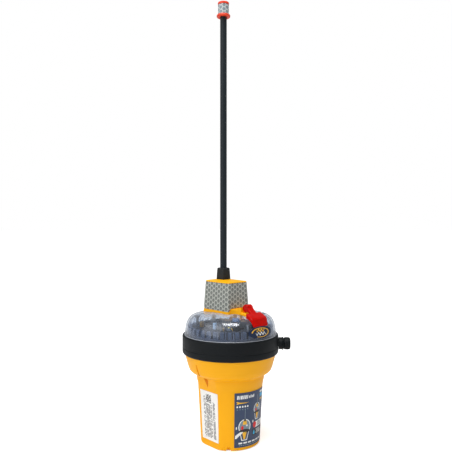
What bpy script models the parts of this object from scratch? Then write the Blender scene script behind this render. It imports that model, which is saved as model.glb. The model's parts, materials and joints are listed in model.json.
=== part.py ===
"""Emergency position beacon: yellow floating housing, clear strobe dome, antenna tower and flexible whip.

Lengths in this script are millimetres; every mesh is scaled to metres as it is made.
Frame: origin at the centre of the base, +Z up, front (red cover and front label) towards -Y.
"""

import math

import bmesh
import bpy
from mathutils import Matrix, Vector

MM = 0.001
GAP = 0.3                   # clearance between touching pieces
WALL = 2.4                  # housing and dome wall

# Lower housing
FOOT_R = 36.1               # radius just above the bottom edge
WAIST_Z = 71.0
WAIST_R = 39.9
STEP_Z = 83.5               # underside of the flared shoulder
STEP_R = 42.0
SHOULDER_Z = 89.4
SHOULDER_R = 50.4
SHOULDER_BEND = (48.9, 86.6)  # where the tangents of its lower rounding cross
BEVEL = (51.9, 93.2)        # where the shoulder turns to its upper slope
HOUSING_TOP_Z = 123.7
FLOOR_Z = 3.0               # inside face of the floor
FLAT_X = 33.9               # side flat, measured at FLAT_Z
FLAT_Z = 38.0
FLAT_LEAN = math.radians(2.7)
FLAT_FLARE = [(66.0, 0.4), (74.0, 1.6), (STEP_Z, 3.3)]  # height, and how far it flares past the lean
FLAT_STRAIGHT_Z = 58.0      # the flat is straight up to here
POCKET_POINT_Z = 70.8       # lower end of the V-shaped pocket under the step
POCKET_HALF = 5.0           # its half width at the step
POCKET_DEPTH = 2.9
SLOT_HALF = 1.3             # locating slot in the shoulder above the pocket
SLOT_DEPTH = 1.8
SLOT_TOP_Z = 101.0
SLOT_LOW_Z = 87.6

CONTACT_X = 12.0            # sea-water contacts on the back
CONTACT_Y = 35.0
CONTACT_Z = 30.0
NOTCH_TURN = math.radians(-46)  # where the foot notch is, round from the front
NOTCH_HALF = 2.5
NOTCH_TOP_Z = 2.6

# Collar and flanges
COLLAR_R = 59.0
COLLAR_LOW_Z = 108.8
COLLAR_HIGH_Z = 131.5
COLLAR_SEAM_Z = 116.6
TETHER_Z = 119.7            # tether post on the collar
TETHER_TURN = math.radians(45)
FLANGE_R = 57.5

LABEL_THICK = 0.4
FRONT_LABEL_HALF = math.radians(35.5)
FRONT_LABEL_Z = (4.2, 68.9)
SIDE_LABEL_Z = (8.0, 66.8)
SIDE_LABEL_Y = (-15.2, 13.4)  # at its lower edge
SIDE_LABEL_WIDENS = 1.6     # each side, up to its upper edge

# Dome
DOME_BASE_R = 56.4
DOME_BASE_Z = 130.0
DOME_EDGE = (41.9, 155.4)   # where the crown turns into the shoulder
DOME_SHOULDER = (52.2, 154.6)  # where the shoulder's tangents cross
DOME_LOW = (55.1, 141.8)
DOME_TOP_Z = 158.4
FEED_R = 6.5                # hole under the tower
BADGE_Z = 139.2
BADGE_HALF_Z = 7.0
BADGE_HALF_X = 15.5
BADGE_BEND_R = 54.0
BADGE_THICK = 0.7

# Antenna tower
TOWER_Y = 8.0
TOWER_LOW = (18.3, 23.4)    # half width and half length at the foot
TOWER_HIGH = (15.9, 21.8)
TOWER_CORNER = 3.2
SHEET_LOW_Z = 161.0
SHEET_HIGH_Z = 194.5
TOWER_TOP_Z = 197.0
BOOT_TOP_Z = 211.6
RECESS = 0.6                # depth of the sheet's seat
TOWER_WALL = 2.6
TOWER_CEILING_Z = 193.4

# Hinge of the red cover
HINGE_Y = -31.0
HINGE_Z = 165.7
KNUCKLE_R = 4.2
KNUCKLE_X = 4.6
LUG_R = 3.8
LUG_X = 1.9
LUG_FOOT = [(-34.0, 158.0), (-25.0, 158.0), (-25.0, 163.0)]
ARM = [(-14.0, 12.5, 160.4), (-16.3, 12.3, 160.7), (-17.4, 9.4, 164.0),
       (-21.0, 7.4, 165.0), (-26.3, 7.0, 166.3)]  # (y, half width, top) from the tower to its end
TOE = [(-25.0, 150.0), (-36.0, 150.0), (-36.0, 158.0), (-33.5, 160.0), (-25.0, 160.6)]
TOE_X = 6.8
PIN_X = 4.3
PIN_R = 1.2
WEB = [(-34.4, 167.4), (-36.4, 165.2), (-38.6, 162.9), (-40.6, 161.2), (-42.5, 160.0),
       (-42.2, 158.6), (-39.5, 159.5), (-35.5, 161.0), (-32.5, 162.2)]  # side outline of the neck
COVER_X = 12.3
COVER_WALL = 1.5
COVER_FRONT_R = 53.0        # its front bulges with the dome

# Whip
WHIP_Y = 12.8
WHIP_R = 4.15
FIRST_PIVOT_Z = 216.0
WHIP_END_Z = 524.4
LINKS = 8                   # rigid lengths that stand for the flexible whip
LINK = (WHIP_END_Z - FIRST_PIVOT_Z) / LINKS
SOCKET_R = WHIP_R + GAP
TOTAL_Z = 543.4

# Buttons: centre of each on the dome
ON_AT = (0.0, -43.5, 154.7)
ON_TILT = math.atan2(4.7, 9.0)
ON_R = 3.6
TEST_AT = (-21.8, -33.5)
TEST_R = 2.6
SCREWS = [(36.7 * sx, 19.2 * sy) for sx in (-1, 1) for sy in (-1, 1)]

DECK_Z = 141.5              # top of the upper chassis
SWITCH_TOP_Z = 147.0
BOARD_Z = 121.0             # underside of the main circuit board
CELL_AT = 13.3              # battery cells' distance from both middle planes

COLOURS = {
    "housing_yellow": ((0.87, 0.40, 0.02), 0.42, 0.0),
    "collar_black": ((0.010, 0.012, 0.014), 0.62, 0.0),
    "boot_black": ((0.022, 0.024, 0.023), 0.65, 0.0),
    "whip_black": ((0.014, 0.020, 0.024), 0.45, 0.0),
    "clear_lens": ((0.75, 0.80, 0.85), 0.08, 0.0),
    "cover_red": ((0.70, 0.01, 0.0), 0.25, 0.0),
    "tip_orange": ((0.85, 0.07, 0.03), 0.40, 0.0),
    "reflective": ((0.38, 0.40, 0.39), 0.35, 0.3),
    "label_navy": ((0.03, 0.055, 0.13), 0.45, 0.0),
    "label_white": ((0.80, 0.81, 0.80), 0.50, 0.0),
    "seal_black": ((0.01, 0.01, 0.01), 0.75, 0.0),
    "deck_grey": ((0.09, 0.11, 0.14), 0.50, 0.0),
    "ring_blue_grey": ((0.10, 0.13, 0.19), 0.35, 0.0),
    "board_green": ((0.02, 0.16, 0.07), 0.50, 0.0),
    "steel": ((0.55, 0.56, 0.58), 0.30, 1.0),
    "brass": ((0.78, 0.57, 0.22), 0.28, 1.0),
    "dark_plastic": ((0.02, 0.02, 0.022), 0.55, 0.0),
    "ceramic": ((0.72, 0.66, 0.52), 0.55, 0.0),
    "cell_wrap": ((0.05, 0.12, 0.32), 0.40, 0.0),
    "lead_red": ((0.60, 0.02, 0.02), 0.50, 0.0),
    "led_amber": ((0.90, 0.70, 0.20), 0.20, 0.0),
    "button_grey": ((0.16, 0.17, 0.19), 0.45, 0.0),
    "pale_blue": ((0.45, 0.62, 0.78), 0.30, 0.0),
}


# ---------------------------------------------------------------- scene helpers

def clear_scene():
    for obj in list(bpy.data.objects):
        bpy.data.objects.remove(obj, do_unlink=True)


def new_collection(name, hidden=False):
    collection = bpy.data.collections.new(name)
    collection.hide_render = hidden
    bpy.context.scene.collection.children.link(collection)
    return collection


def material(name):
    colour, roughness, metallic = COLOURS[name]
    made = bpy.data.materials.get(name) or bpy.data.materials.new(name)
    made.use_nodes = True
    shader = made.node_tree.nodes["Principled BSDF"]
    shader.inputs["Base Color"].default_value = (*colour, 1.0)
    shader.inputs["Roughness"].default_value = roughness
    shader.inputs["Metallic"].default_value = metallic
    made.diffuse_color = (*colour, 1.0)
    return made


def place(name, mesh, finish):
    """A part when it has a finish, otherwise a cutter."""
    obj = bpy.data.objects.new(name, mesh)
    if finish:
        PARTS.objects.link(obj)
        mesh.materials.append(material(finish))
        mesh.shade_smooth()
        mesh.set_sharp_from_angle(angle=math.radians(35))
    else:
        CUTTERS.objects.link(obj)
        obj.hide_render = True
        obj.display_type = "WIRE"
    return obj


def finished_mesh(name, bm):
    """The bmesh as a mesh in metres with its faces pointing out."""
    bmesh.ops.recalc_face_normals(bm, faces=bm.faces)
    bmesh.ops.scale(bm, vec=(MM, MM, MM), verts=bm.verts)
    mesh = bpy.data.meshes.new(name)
    bm.to_mesh(mesh)
    bm.free()
    return mesh


def boolean(target, other, operation="DIFFERENCE"):
    modifier = target.modifiers.new(f"{operation.lower()} {other.name}", "BOOLEAN")
    modifier.operation = operation
    modifier.solver = "EXACT"
    modifier.object = other


def move_origin(obj, point):
    """Puts the object's origin on its joint without moving its shape."""
    at = Vector(point) * MM
    obj.data.transform(Matrix.Translation(-at))
    obj.location = at


# ---------------------------------------------------------------- outlines

def bend(start, corner, end, steps):
    """A round stretch of an outline: a quadratic curve that leaves out both of its ends."""
    start, corner, end = Vector(start), Vector(corner), Vector(end)
    stations = [i / steps for i in range(1, steps)]
    return [tuple(start.lerp(corner, t).lerp(corner.lerp(end, t), t)) for t in stations]


def inset(outline, distance):
    """The outline moved inwards along its own normals; it runs from the crown outwards and down."""
    points = [Vector(p) for p in outline]
    moved = []
    for i, point in enumerate(points):
        along = points[min(i + 1, len(points) - 1)] - points[max(i - 1, 0)]
        normal = Vector((along.y, -along.x)).normalized()
        moved.append(tuple(point + normal * distance))
    return moved


def radius_at(outline, z):
    """The outline's radius at a height, between its points."""
    for (r0, z0), (r1, z1) in zip(outline, outline[1:]):
        if min(z0, z1) <= z <= max(z0, z1) and z0 != z1:
            return r0 + (r1 - r0) * (z - z0) / (z1 - z0)
    return outline[-1][0]


def rounded_rectangle(half_x, half_y, corner, z, centre=(0.0, 0.0), steps=4):
    ring = []
    for quarter in range(4):
        sx = (1, -1, -1, 1)[quarter]
        sy = (1, 1, -1, -1)[quarter]
        for i in range(steps + 1):
            turn = math.radians(90 * quarter + 90 * i / steps)
            x = sx * (half_x - corner) + corner * math.cos(turn)
            y = sy * (half_y - corner) + corner * math.sin(turn)
            ring.append((centre[0] + x, centre[1] + y, z))
    return ring


# ---------------------------------------------------------------- shape helpers

def turned(name, outline, finish=None, steps=36, ring=False, at=(0, 0, 0), tilt=None):
    """A profile (radius, height) swept about Z with a Screw; a ring closes on itself off the axis."""
    bm = bmesh.new()
    verts = [bm.verts.new((r, 0, z)) for r, z in outline]
    pairs = list(zip(verts, verts[1:]))
    if ring:
        pairs.append((verts[-1], verts[0]))
    for pair in pairs:
        bm.edges.new(pair)
    bmesh.ops.scale(bm, vec=(MM, MM, MM), verts=bm.verts)
    mesh = bpy.data.meshes.new(name)
    bm.to_mesh(mesh)
    bm.free()
    obj = place(name, mesh, finish)
    obj.location = Vector(at) * MM
    if tilt is not None:
        obj.rotation_euler = tilt
    screw = obj.modifiers.new("turn", "SCREW")
    screw.steps = screw.render_steps = steps
    screw.use_merge_vertices = True
    screw.merge_threshold = 0.00001
    screw.use_smooth_shade = True
    return obj


def rod(name, radius, low, high, finish=None, **more):
    return turned(name, [(0, high), (radius, high), (radius, low), (0, low)], finish, **more)


def loft(name, rings, finish=None):
    """A solid through rings of equal point count, closed by a flat face at each end."""
    bm = bmesh.new()
    rows = [[bm.verts.new(p) for p in ring] for ring in rings]
    for low, high in zip(rows, rows[1:]):
        for i in range(len(low)):
            j = (i + 1) % len(low)
            bm.faces.new((low[i], low[j], high[j], high[i]))
    bm.faces.new(rows[0])
    bm.faces.new(rows[-1])
    bmesh.ops.triangulate(bm, faces=[face for face in bm.faces if len(face.verts) == 4])
    return place(name, finished_mesh(name, bm), finish)


def box(name, low, high, finish=None, round_edge=0.0):
    bm = bmesh.new()
    bmesh.ops.create_cube(bm, size=1.0)
    size = Vector(high) - Vector(low)
    bmesh.ops.scale(bm, vec=size, verts=bm.verts)
    bmesh.ops.translate(bm, vec=(Vector(high) + Vector(low)) / 2, verts=bm.verts)
    obj = place(name, finished_mesh(name, bm), finish)
    if round_edge:
        bevel = obj.modifiers.new("round edges", "BEVEL")
        bevel.width = round_edge * MM
        bevel.segments = 2
        bevel.limit_method = "ANGLE"
    return obj


def prism(name, outline_yz, half_x, finish=None):
    """A side outline (y, z) extruded across the object."""
    rings = [[(x, y, z) for y, z in outline_yz] for x in (-half_x, half_x)]
    return loft(name, rings, finish)


def skin(name, rows, thickness, finish):
    """An open grid of points made a sheet; its thickness grows away from the object's axis."""
    bm = bmesh.new()
    grid = [[bm.verts.new(p) for p in row] for row in rows]
    for low, high in zip(grid, grid[1:]):
        for i in range(len(low) - 1):
            bm.faces.new((low[i], low[i + 1], high[i + 1], high[i]))
    bmesh.ops.remove_doubles(bm, verts=bm.verts, dist=1e-5)
    bm.normal_update()
    for face in bm.faces:
        outward = face.calc_center_median() * Vector((1, 1, 0))
        if face.normal.dot(outward) < 0:
            face.normal_flip()
    bmesh.ops.scale(bm, vec=(MM, MM, MM), verts=bm.verts)
    mesh = bpy.data.meshes.new(name)
    bm.to_mesh(mesh)
    bm.free()
    obj = place(name, mesh, finish)
    solid = obj.modifiers.new("thickness", "SOLIDIFY")
    solid.thickness = thickness * MM
    solid.offset = 1.0
    return obj


def wire(name, route, radius, finish):
    """A thin lead along a route of points, with filled caps."""
    curve = bpy.data.curves.new(name, "CURVE")
    curve.dimensions = "3D"
    curve.bevel_depth = radius * MM
    curve.bevel_resolution = 1
    curve.use_fill_caps = True
    spline = curve.splines.new("POLY")
    spline.points.add(len(route) - 1)
    for point, (x, y, z) in zip(spline.points, route):
        point.co = (x * MM, y * MM, z * MM, 1.0)
    obj = bpy.data.objects.new(name, curve)
    PARTS.objects.link(obj)
    curve.materials.append(material(finish))
    return obj


# ---------------------------------------------------------------- shared outlines

def body_outline():
    """Outside of the housing, from its top flange down to the base."""
    flange = [(FLANGE_R, HOUSING_TOP_Z), (FLANGE_R, 110.7), (56.25, 110.5), (56.2, 108.6)]
    shoulder = [BEVEL, (SHOULDER_R, SHOULDER_Z)]
    rounding = bend((SHOULDER_R, SHOULDER_Z), SHOULDER_BEND, (STEP_R, STEP_Z), 4)
    waist = [(STEP_R, STEP_Z), (41.4, 78.0), (WAIST_R, WAIST_Z)]
    foot = [(FOOT_R, 2.2)] + bend((FOOT_R, 2.2), (FOOT_R, 0.0), (33.9, 0.0), 3) + [(33.9, 0.0)]
    return flange + shoulder + rounding + waist + foot


def cavity_outline():
    """Inside of the housing: the same shape, one wall smaller, from above the rim down to the floor."""
    upper = [(53.0, 130.0), (53.0, 108.0), (49.4, 93.6)]
    shoulder = [(47.9, 90.6), (42.5, 87.2), (39.5, 84.9)]
    lower = [(38.9, 78.0), (WAIST_R - WALL, WAIST_Z), (FOOT_R - WALL, FLOOR_Z)]
    return upper + shoulder + lower


def dome_outline(steps=5):
    """Outside of the dome, from the feed hole outwards and down to its base."""
    crown = [(FEED_R, DOME_TOP_Z), (17.0, 158.0), (35.0, 156.3), DOME_EDGE]
    shoulder = bend(DOME_EDGE, DOME_SHOULDER, DOME_LOW, steps)
    return crown + shoulder + [DOME_LOW, (DOME_BASE_R, DOME_BASE_Z)]


def dome_keep_out(name, clearance):
    """The space that the dome fills and everything below it, grown by a clearance."""
    grown = inset(dome_outline(), -clearance)
    top = [(0, grown[0][1])] + grown
    return turned(name, top + [(80, 130), (80, 100), (0, 100)])


# ---------------------------------------------------------------- housing group

def flat_x(z):
    """Distance of the side flat from the middle plane at a height."""
    flare = 0.0
    for (low_z, low), (high_z, high) in zip([(FLAT_STRAIGHT_Z, 0.0)] + FLAT_FLARE, FLAT_FLARE):
        if z > low_z:
            flare = low + (high - low) * (z - low_z) / (high_z - low_z)
    return FLAT_X + math.tan(FLAT_LEAN) * (z - FLAT_Z) + flare


def side_flat(name, side, depth):
    """A leaning block that takes the round off one side; depth moves it inwards for the cavity."""
    bottom, top, beyond = -10.0, STEP_Z + depth, 70.0
    heights = [bottom, FLAT_STRAIGHT_Z] + [z for z, _ in FLAT_FLARE[:-1]] + [top]
    outline = [(flat_x(z) - depth, z) for z in heights] + [(beyond, top), (beyond, bottom)]
    rings = [[(side * x, y, z) for x, z in outline] for y in (-60, 60)]
    return loft(name, rings)


def pocket(name, side):
    """V-shaped cut in the side flat: widest and deepest under the step, its point downwards."""
    slope = POCKET_HALF / POCKET_DEPTH
    valley_top = flat_x(STEP_Z) - POCKET_DEPTH
    valley_rise = (flat_x(POCKET_POINT_Z) - valley_top) / (STEP_Z - POCKET_POINT_Z)
    rings = []
    for z in (POCKET_POINT_Z - 2.0, STEP_Z - 0.3):
        valley = valley_top + valley_rise * (STEP_Z - z)
        reach = 10.0
        rings.append([(side * x, y, z) for x, y in
                      ((valley, 0), (valley + reach, slope * reach), (valley + reach, -slope * reach))])
    return loft(name, rings)


def shoulder_slot(name, side):
    """Narrow upright slot in the flared shoulder, a constant depth below its surface."""
    outline = body_outline()
    heights = (SLOT_TOP_Z, BEVEL[1], SHOULDER_Z, SLOT_LOW_Z)
    floor = [(radius_at(outline, z) - SLOT_DEPTH, z) for z in heights]
    section = floor + [(70.0, heights[-1]), (70.0, heights[0])]
    return loft(name, [[(side * x, y, z) for x, z in section] for y in (-SLOT_HALF, SLOT_HALF)])


def lower_housing():
    outline = body_outline()
    housing = turned("lower_housing", [(0, HOUSING_TOP_Z)] + outline + [(0, 0)], "housing_yellow")
    cavity = turned("housing_cavity", [(0, 130.0)] + cavity_outline() + [(0, FLOOR_Z)])
    for side, tag in ((-1, "left"), (1, "right")):
        boolean(housing, side_flat(f"flat_{tag}", side, 0.0))
        boolean(cavity, side_flat(f"inner_flat_{tag}", side, WALL))
    boolean(housing, cavity)
    for side, tag in ((-1, "left"), (1, "right")):
        boolean(housing, pocket(f"pocket_{tag}", side))
        boolean(housing, shoulder_slot(f"shoulder_slot_{tag}", side))
    notch = box("foot_notch", (-NOTCH_HALF, -3.0, -1.0), (NOTCH_HALF, 3.0, NOTCH_TOP_Z))
    notch.location = Vector((math.sin(NOTCH_TURN), -math.cos(NOTCH_TURN), 0)) * 36.4 * MM
    notch.rotation_euler = (0, 0, NOTCH_TURN)
    boolean(housing, notch)
    for name, x in (("water_contact_left", -CONTACT_X), ("water_contact_right", CONTACT_X)):
        at = (x, CONTACT_Y, CONTACT_Z)
        bore = rod(name + "_bore", 2.3, -10, 10, steps=12, at=at, tilt=(math.pi / 2, 0, 0))
        boolean(housing, bore)
        stud = [(0, 4.6), (3.0, 4.6), (3.4, 3.6), (3.4, 2.9), (2.0, 2.9), (2.0, -3.5), (0, -3.5)]
        turned(name, stud, "steel", steps=12, at=at, tilt=(-math.pi / 2, 0, 0))


def collar():
    low, high, r, seam = COLLAR_LOW_Z, COLLAR_HIGH_Z, COLLAR_R, COLLAR_SEAM_Z
    outside = [(56.8, high), (r - 1.0, high), (r - 0.2, high - 0.5), (r, high - 1.3)]
    outside += [(r, seam + 0.5), (r - 0.35, seam), (r, seam - 0.5)]
    outside += [(r, low + 1.3), (r - 0.3, low + 0.4), (r - 1.1, low), (56.6, low)]
    inside = [(56.6, 110.2), (57.9, 110.2), (57.9, 129.7), (56.8, 129.7)]
    turned("collar_ring", outside + inside, "collar_black", steps=40, ring=True)
    stud = [(0, 14.7), (5.6, 14.7), (7.0, 13.9), (7.5, 12.4), (7.5, 7.6), (7.0, 7.0), (6.2, 6.8)]
    stud += [(6.2, 5.2), (7.2, 4.6), (7.2, 0.6), (7.6, GAP), (0, GAP)]
    turn = TETHER_TURN
    at = (COLLAR_R * math.sin(turn), -COLLAR_R * math.cos(turn), TETHER_Z)
    turned("tether_stud", stud, "collar_black", steps=16, at=at, tilt=(math.pi / 2, 0, turn))
    seal = [(55.5 + 0.85 * math.sin(a), 124.95 + 0.85 * math.cos(a))
            for a in (math.radians(60 * i) for i in range(6))]
    turned("dome_seal", seal, "seal_black", steps=28, ring=True)


def labels():
    columns = 10
    outline = body_outline()
    rows = []
    for z in FRONT_LABEL_Z:
        r = radius_at(outline, z) + GAP
        turns = [FRONT_LABEL_HALF * (2 * i / columns - 1) for i in range(columns + 1)]
        rows.append([(r * math.sin(a), -r * math.cos(a), z) for a in turns])
    skin("front_label", rows, LABEL_THICK, "label_navy")
    low, high = SIDE_LABEL_Z
    rows = []
    for z in (low, FLAT_STRAIGHT_Z, high):
        x = flat_x(z) + GAP
        spread = SIDE_LABEL_WIDENS * (z - low) / (high - low)
        rows.append([(-x, y, z) for y in (SIDE_LABEL_Y[0] - spread, SIDE_LABEL_Y[1] + spread)])
    skin("side_label", rows, LABEL_THICK, "label_white")


# ---------------------------------------------------------------- dome group

def dome_screw_bore(name, x, y):
    outline = [(0, 165), (3.3, 165), (3.3, 153.0), (1.8, 153.0), (1.8, 137.0), (0, 137.0)]
    return turned(name, outline, steps=12, at=(x, y, 0))


def dome():
    outline = dome_outline()
    inner = inset(outline, WALL)
    inner[0] = (FEED_R, inner[0][1])
    flange = [(DOME_BASE_R, 129.4), (FLANGE_R, 129.4), (FLANGE_R, 126.2), (53.9, 126.2)]
    lens = turned("dome_lens", outline + flange + inner[::-1], "clear_lens", steps=32, ring=True)
    for i, (x, y) in enumerate(SCREWS, 1):
        boss = [(0, 153.6), (4.8, 153.6), (3.1, DECK_Z + 0.6), (0, DECK_Z + 0.6)]
        boolean(lens, turned(f"screw_boss_{i}", boss, steps=12, at=(x, y, 0)), "UNION")
    test_boss = [(0, 153.9), (6.0, 153.9), (5.2, 150.6), (0, 150.6)]
    boolean(lens, turned("test_boss", test_boss, steps=16, at=(*TEST_AT, 0)), "UNION")
    for i, (x, y) in enumerate(SCREWS, 1):
        boolean(lens, dome_screw_bore(f"screw_bore_{i}", x, y))
        head = [(0, 154.8), (2.4, 154.8), (3.0, 154.2), (3.0, 153.3)]
        head += [(1.5, 153.3), (1.5, 138.6), (0, 138.6)]
        turned(f"dome_screw_{i}", head, "dark_plastic", steps=12, at=(x, y, 0))
    test_bore = [(0, 165), (4.5, 165), (4.5, 152.6), (3.0, 152.6), (3.0, 140.0), (0, 140.0)]
    boolean(lens, turned("test_bore", test_bore, steps=16, at=(*TEST_AT, 0)))
    on_bore = rod("on_bore", ON_R + GAP, -12, 8, steps=16, at=ON_AT, tilt=(ON_TILT, 0, 0))
    boolean(lens, on_bore)


def badge():
    """Oval plate that follows the dome wall."""
    outline = dome_outline()
    spokes, circles = 20, 3
    rows = []
    for c in range(circles + 1):
        row = []
        for s in range(spokes + 1):
            turn = 2 * math.pi * s / spokes
            z = BADGE_Z + BADGE_HALF_Z * c / circles * math.sin(turn)
            r = radius_at(outline, z) + GAP
            a = BADGE_HALF_X * c / circles * math.cos(turn) / BADGE_BEND_R
            row.append((r * math.sin(a), -r * math.cos(a), z))
        rows.append(row)
    skin("front_badge", rows, BADGE_THICK, "label_navy")


def buttons():
    bezel = [(3.0, 156.5), (3.9, 156.5), (4.2, 156.0), (4.2, 152.9), (3.0, 152.9)]
    turned("test_button_bezel", bezel, "pale_blue", steps=16, ring=True, at=(*TEST_AT, 0))
    cap = [(0, 156.0), (2.0, 156.0), (TEST_R, 155.5), (TEST_R, 148.1), (0, 148.1)]
    button = turned("test_button", [(r, z - 156.0) for r, z in cap], "button_grey", steps=12)
    button.location = Vector((*TEST_AT, 156.0)) * MM
    x, y = TEST_AT
    box("test_switch", (x - 3, y - 3, DECK_Z + GAP), (x + 3, y + 3, SWITCH_TOP_Z), "dark_plastic")
    cap = [(0, 1.0), (3.0, 1.0), (ON_R, 0.5), (ON_R, -6.0), (0, -6.0)]
    turned("on_button", cap, "button_grey", steps=16, at=ON_AT, tilt=(ON_TILT, 0, 0))
    box("on_switch", (-3, -41, DECK_Z + GAP), (3, -36, SWITCH_TOP_Z), "dark_plastic")


# ---------------------------------------------------------------- tower group

def tower_ring(z, grow=0.0):
    """Rounded rectangle of the tower's outside at a height, grown or shrunk."""
    t = (z - SHEET_LOW_Z) / (TOWER_TOP_Z - SHEET_LOW_Z)
    half_x = TOWER_LOW[0] + (TOWER_HIGH[0] - TOWER_LOW[0]) * t + grow
    half_y = TOWER_LOW[1] + (TOWER_HIGH[1] - TOWER_LOW[1]) * t + grow
    return rounded_rectangle(half_x, half_y, TOWER_CORNER + grow, z, (0, TOWER_Y))


def arm_station(y, half_x, top):
    return [(-half_x, y, 150), (-half_x, y, top - 1.0), (1.0 - half_x, y, top),
            (half_x - 1.0, y, top), (half_x, y, top - 1.0), (half_x, y, 150)]


def antenna_tower():
    rings = [tower_ring(150), tower_ring(SHEET_LOW_Z - GAP), tower_ring(SHEET_LOW_Z - GAP, -RECESS)]
    rings += [tower_ring(SHEET_HIGH_Z + GAP, -RECESS), tower_ring(SHEET_HIGH_Z + GAP)]
    top_edge = ((1.5, 0.0), (0.5, 0.6), (0.0, 1.8))
    rings += [tower_ring(TOWER_TOP_Z - drop, -inward) for drop, inward in top_edge]
    tower = loft("antenna_tower", rings, "housing_yellow")
    boolean(tower, loft("arm", [arm_station(*station) for station in ARM]), "UNION")
    boolean(tower, prism("arm_toe", TOE, TOE_X), "UNION")
    lug = [(HINGE_Y + LUG_R * math.cos(a), HINGE_Z + LUG_R * math.sin(a))
           for a in (math.radians(180 * i / 8) for i in range(9))]
    boolean(tower, prism("lug", lug + LUG_FOOT, LUG_X), "UNION")
    boolean(tower, dome_keep_out("tower_keep_out", GAP))
    hollow = [tower_ring(140, -TOWER_WALL), tower_ring(TOWER_CEILING_Z, -TOWER_WALL)]
    boolean(tower, loft("tower_hollow", hollow))
    boolean(tower, rod("whip_bore", 4.6, 180, 200, steps=16, at=(0, WHIP_Y, 0)))
    pin_hole = rod("pin_hole", PIN_R + GAP, -20, 20, steps=12,
                   at=(0, HINGE_Y, HINGE_Z), tilt=(0, math.pi / 2, 0))
    boolean(tower, pin_hole)
    rod("hinge_pin", PIN_R, -PIN_X, PIN_X, "steel", steps=12,
        at=(0, HINGE_Y, HINGE_Z), tilt=(0, math.pi / 2, 0))
    return pin_hole


def reflective_sheet():
    outer = [tower_ring(z, 0.1) for z in (SHEET_LOW_Z, SHEET_HIGH_Z)]
    sheet = loft("tower_reflective_sheet", outer, "reflective")
    inner = [tower_ring(z, GAP - RECESS) for z in (150, 200)]
    boolean(sheet, loft("sheet_inside", inner))


def cover_outline(shift):
    """Side outline of the cover's wide part, its front moved forward by the shift."""
    top = [(-40.0, 161.4), (-48.9 - shift, 157.0), (-50.2 - shift, 155.8)]
    return top + [(-52.4 - shift, 146.5), (-50.8, 140.0), (-40.0, 140.0)]


def cover_shell(name, half_x, wall, finish=None):
    """The wide part as a loft across X, its front bulging with the dome."""
    stations = 6
    rings = []
    for i in range(stations + 1):
        x = half_x * (2 * i / stations - 1)
        bulge = math.sqrt(COVER_FRONT_R ** 2 - x * x) - math.sqrt(COVER_FRONT_R ** 2 - COVER_X ** 2)
        shift = bulge - wall
        ring = [(x, y, z) for y, z in cover_outline(shift)]
        if wall:
            ring = [(x, y, z - 1.15 * wall if z > 155 else z) for x, y, z in ring]
            ring[0] = (x, -40.0 + 1.0, ring[0][2] + 0.5)
            ring[3] = (x, ring[3][1], 138.0)
            ring[-2] = (x, -49.0, 137.0)
            ring[-1] = (x, -39.0, 137.0)
        rings.append(ring)
    return loft(name, rings, finish)


def red_cover(pin_hole):
    cover = cover_shell("red_cover", COVER_X, 0.0, "cover_red")
    boolean(cover, cover_shell("cover_inside", COVER_X - COVER_WALL, COVER_WALL))
    boolean(cover, dome_keep_out("cover_keep_out", GAP + 0.1))
    boolean(cover, prism("knuckle_web", WEB, KNUCKLE_X - 0.2), "UNION")
    knuckle = rod("knuckle", KNUCKLE_R, -KNUCKLE_X, KNUCKLE_X, steps=20,
                  at=(0, HINGE_Y, HINGE_Z), tilt=(0, math.pi / 2, 0))
    boolean(cover, knuckle, "UNION")
    reach = LUG_R + 2 * GAP
    side = LUG_X + GAP
    boolean(cover, box("knuckle_slot", (-side, HINGE_Y - reach, 156.0), (side, HINGE_Y + 6.0, 172.0)))
    boolean(cover, pin_hole)
    move_origin(cover, (0, HINGE_Y, HINGE_Z))


# ---------------------------------------------------------------- whip group

def socket_outline(height):
    """Concave top of a link: from the axis out to the rim."""
    widest = math.asin(WHIP_R / SOCKET_R)
    turns = [widest * i / 4 for i in range(5)]
    return [(SOCKET_R * math.sin(a), height - SOCKET_R * math.cos(a)) for a in turns]


def whip():
    at = (0, WHIP_Y, 0)
    rings = []
    for z, half in ((TOWER_TOP_Z + GAP, 6.85), (BOOT_TOP_Z - 1.0, 6.2), (BOOT_TOP_Z, 5.7)):
        rings.append(rounded_rectangle(half, half, 2.3, z, (0, WHIP_Y)))
    boot = loft("antenna_boot", rings, "boot_black")
    boolean(boot, rod("boot_bore", WHIP_R + GAP, 190, 220, steps=16, at=at))
    base = socket_outline(FIRST_PIVOT_Z)
    base += [(WHIP_R, 193.0), (WHIP_R, 192.8), (7.0, 192.8), (7.0, 189.0)]
    base += [(3.0, 189.0), (3.0, 180.0), (0, 180.0)]
    turned("antenna_base", base, "whip_black", steps=12, at=at)
    ball_turns = [math.radians(22.5 * k) for k in range(4)]
    ball = [(WHIP_R * math.cos(a), -WHIP_R * math.sin(a)) for a in ball_turns]
    for i in range(LINKS):
        last = i == LINKS - 1
        top = [(0, LINK), (WHIP_R, LINK)] if last else socket_outline(LINK)
        pivot = (0, WHIP_Y, FIRST_PIVOT_Z + LINK * i)
        turned(f"whip_link_{i + 1}", top + ball + [(0, -WHIP_R)], "whip_black", steps=12, at=pivot)
    cap = [(0, TOTAL_Z), (6.4, TOTAL_Z), (7.0, TOTAL_Z - 0.7), (7.0, 540.6), (6.0, 540.3), (6.0, 527.6)]
    cap += [(8.1, 527.6), (8.5, 527.0), (8.5, 525.3), (8.0, 524.7), (0, 524.7)]
    turned("tip_cap", cap, "tip_orange", steps=20, at=at)
    band = [(6.3, 540.0), (6.7, 540.0), (6.7, 527.9), (6.3, 527.9)]
    turned("tip_reflective_band", band, "reflective", steps=20, ring=True, at=at)


# ---------------------------------------------------------------- inner pieces

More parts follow.
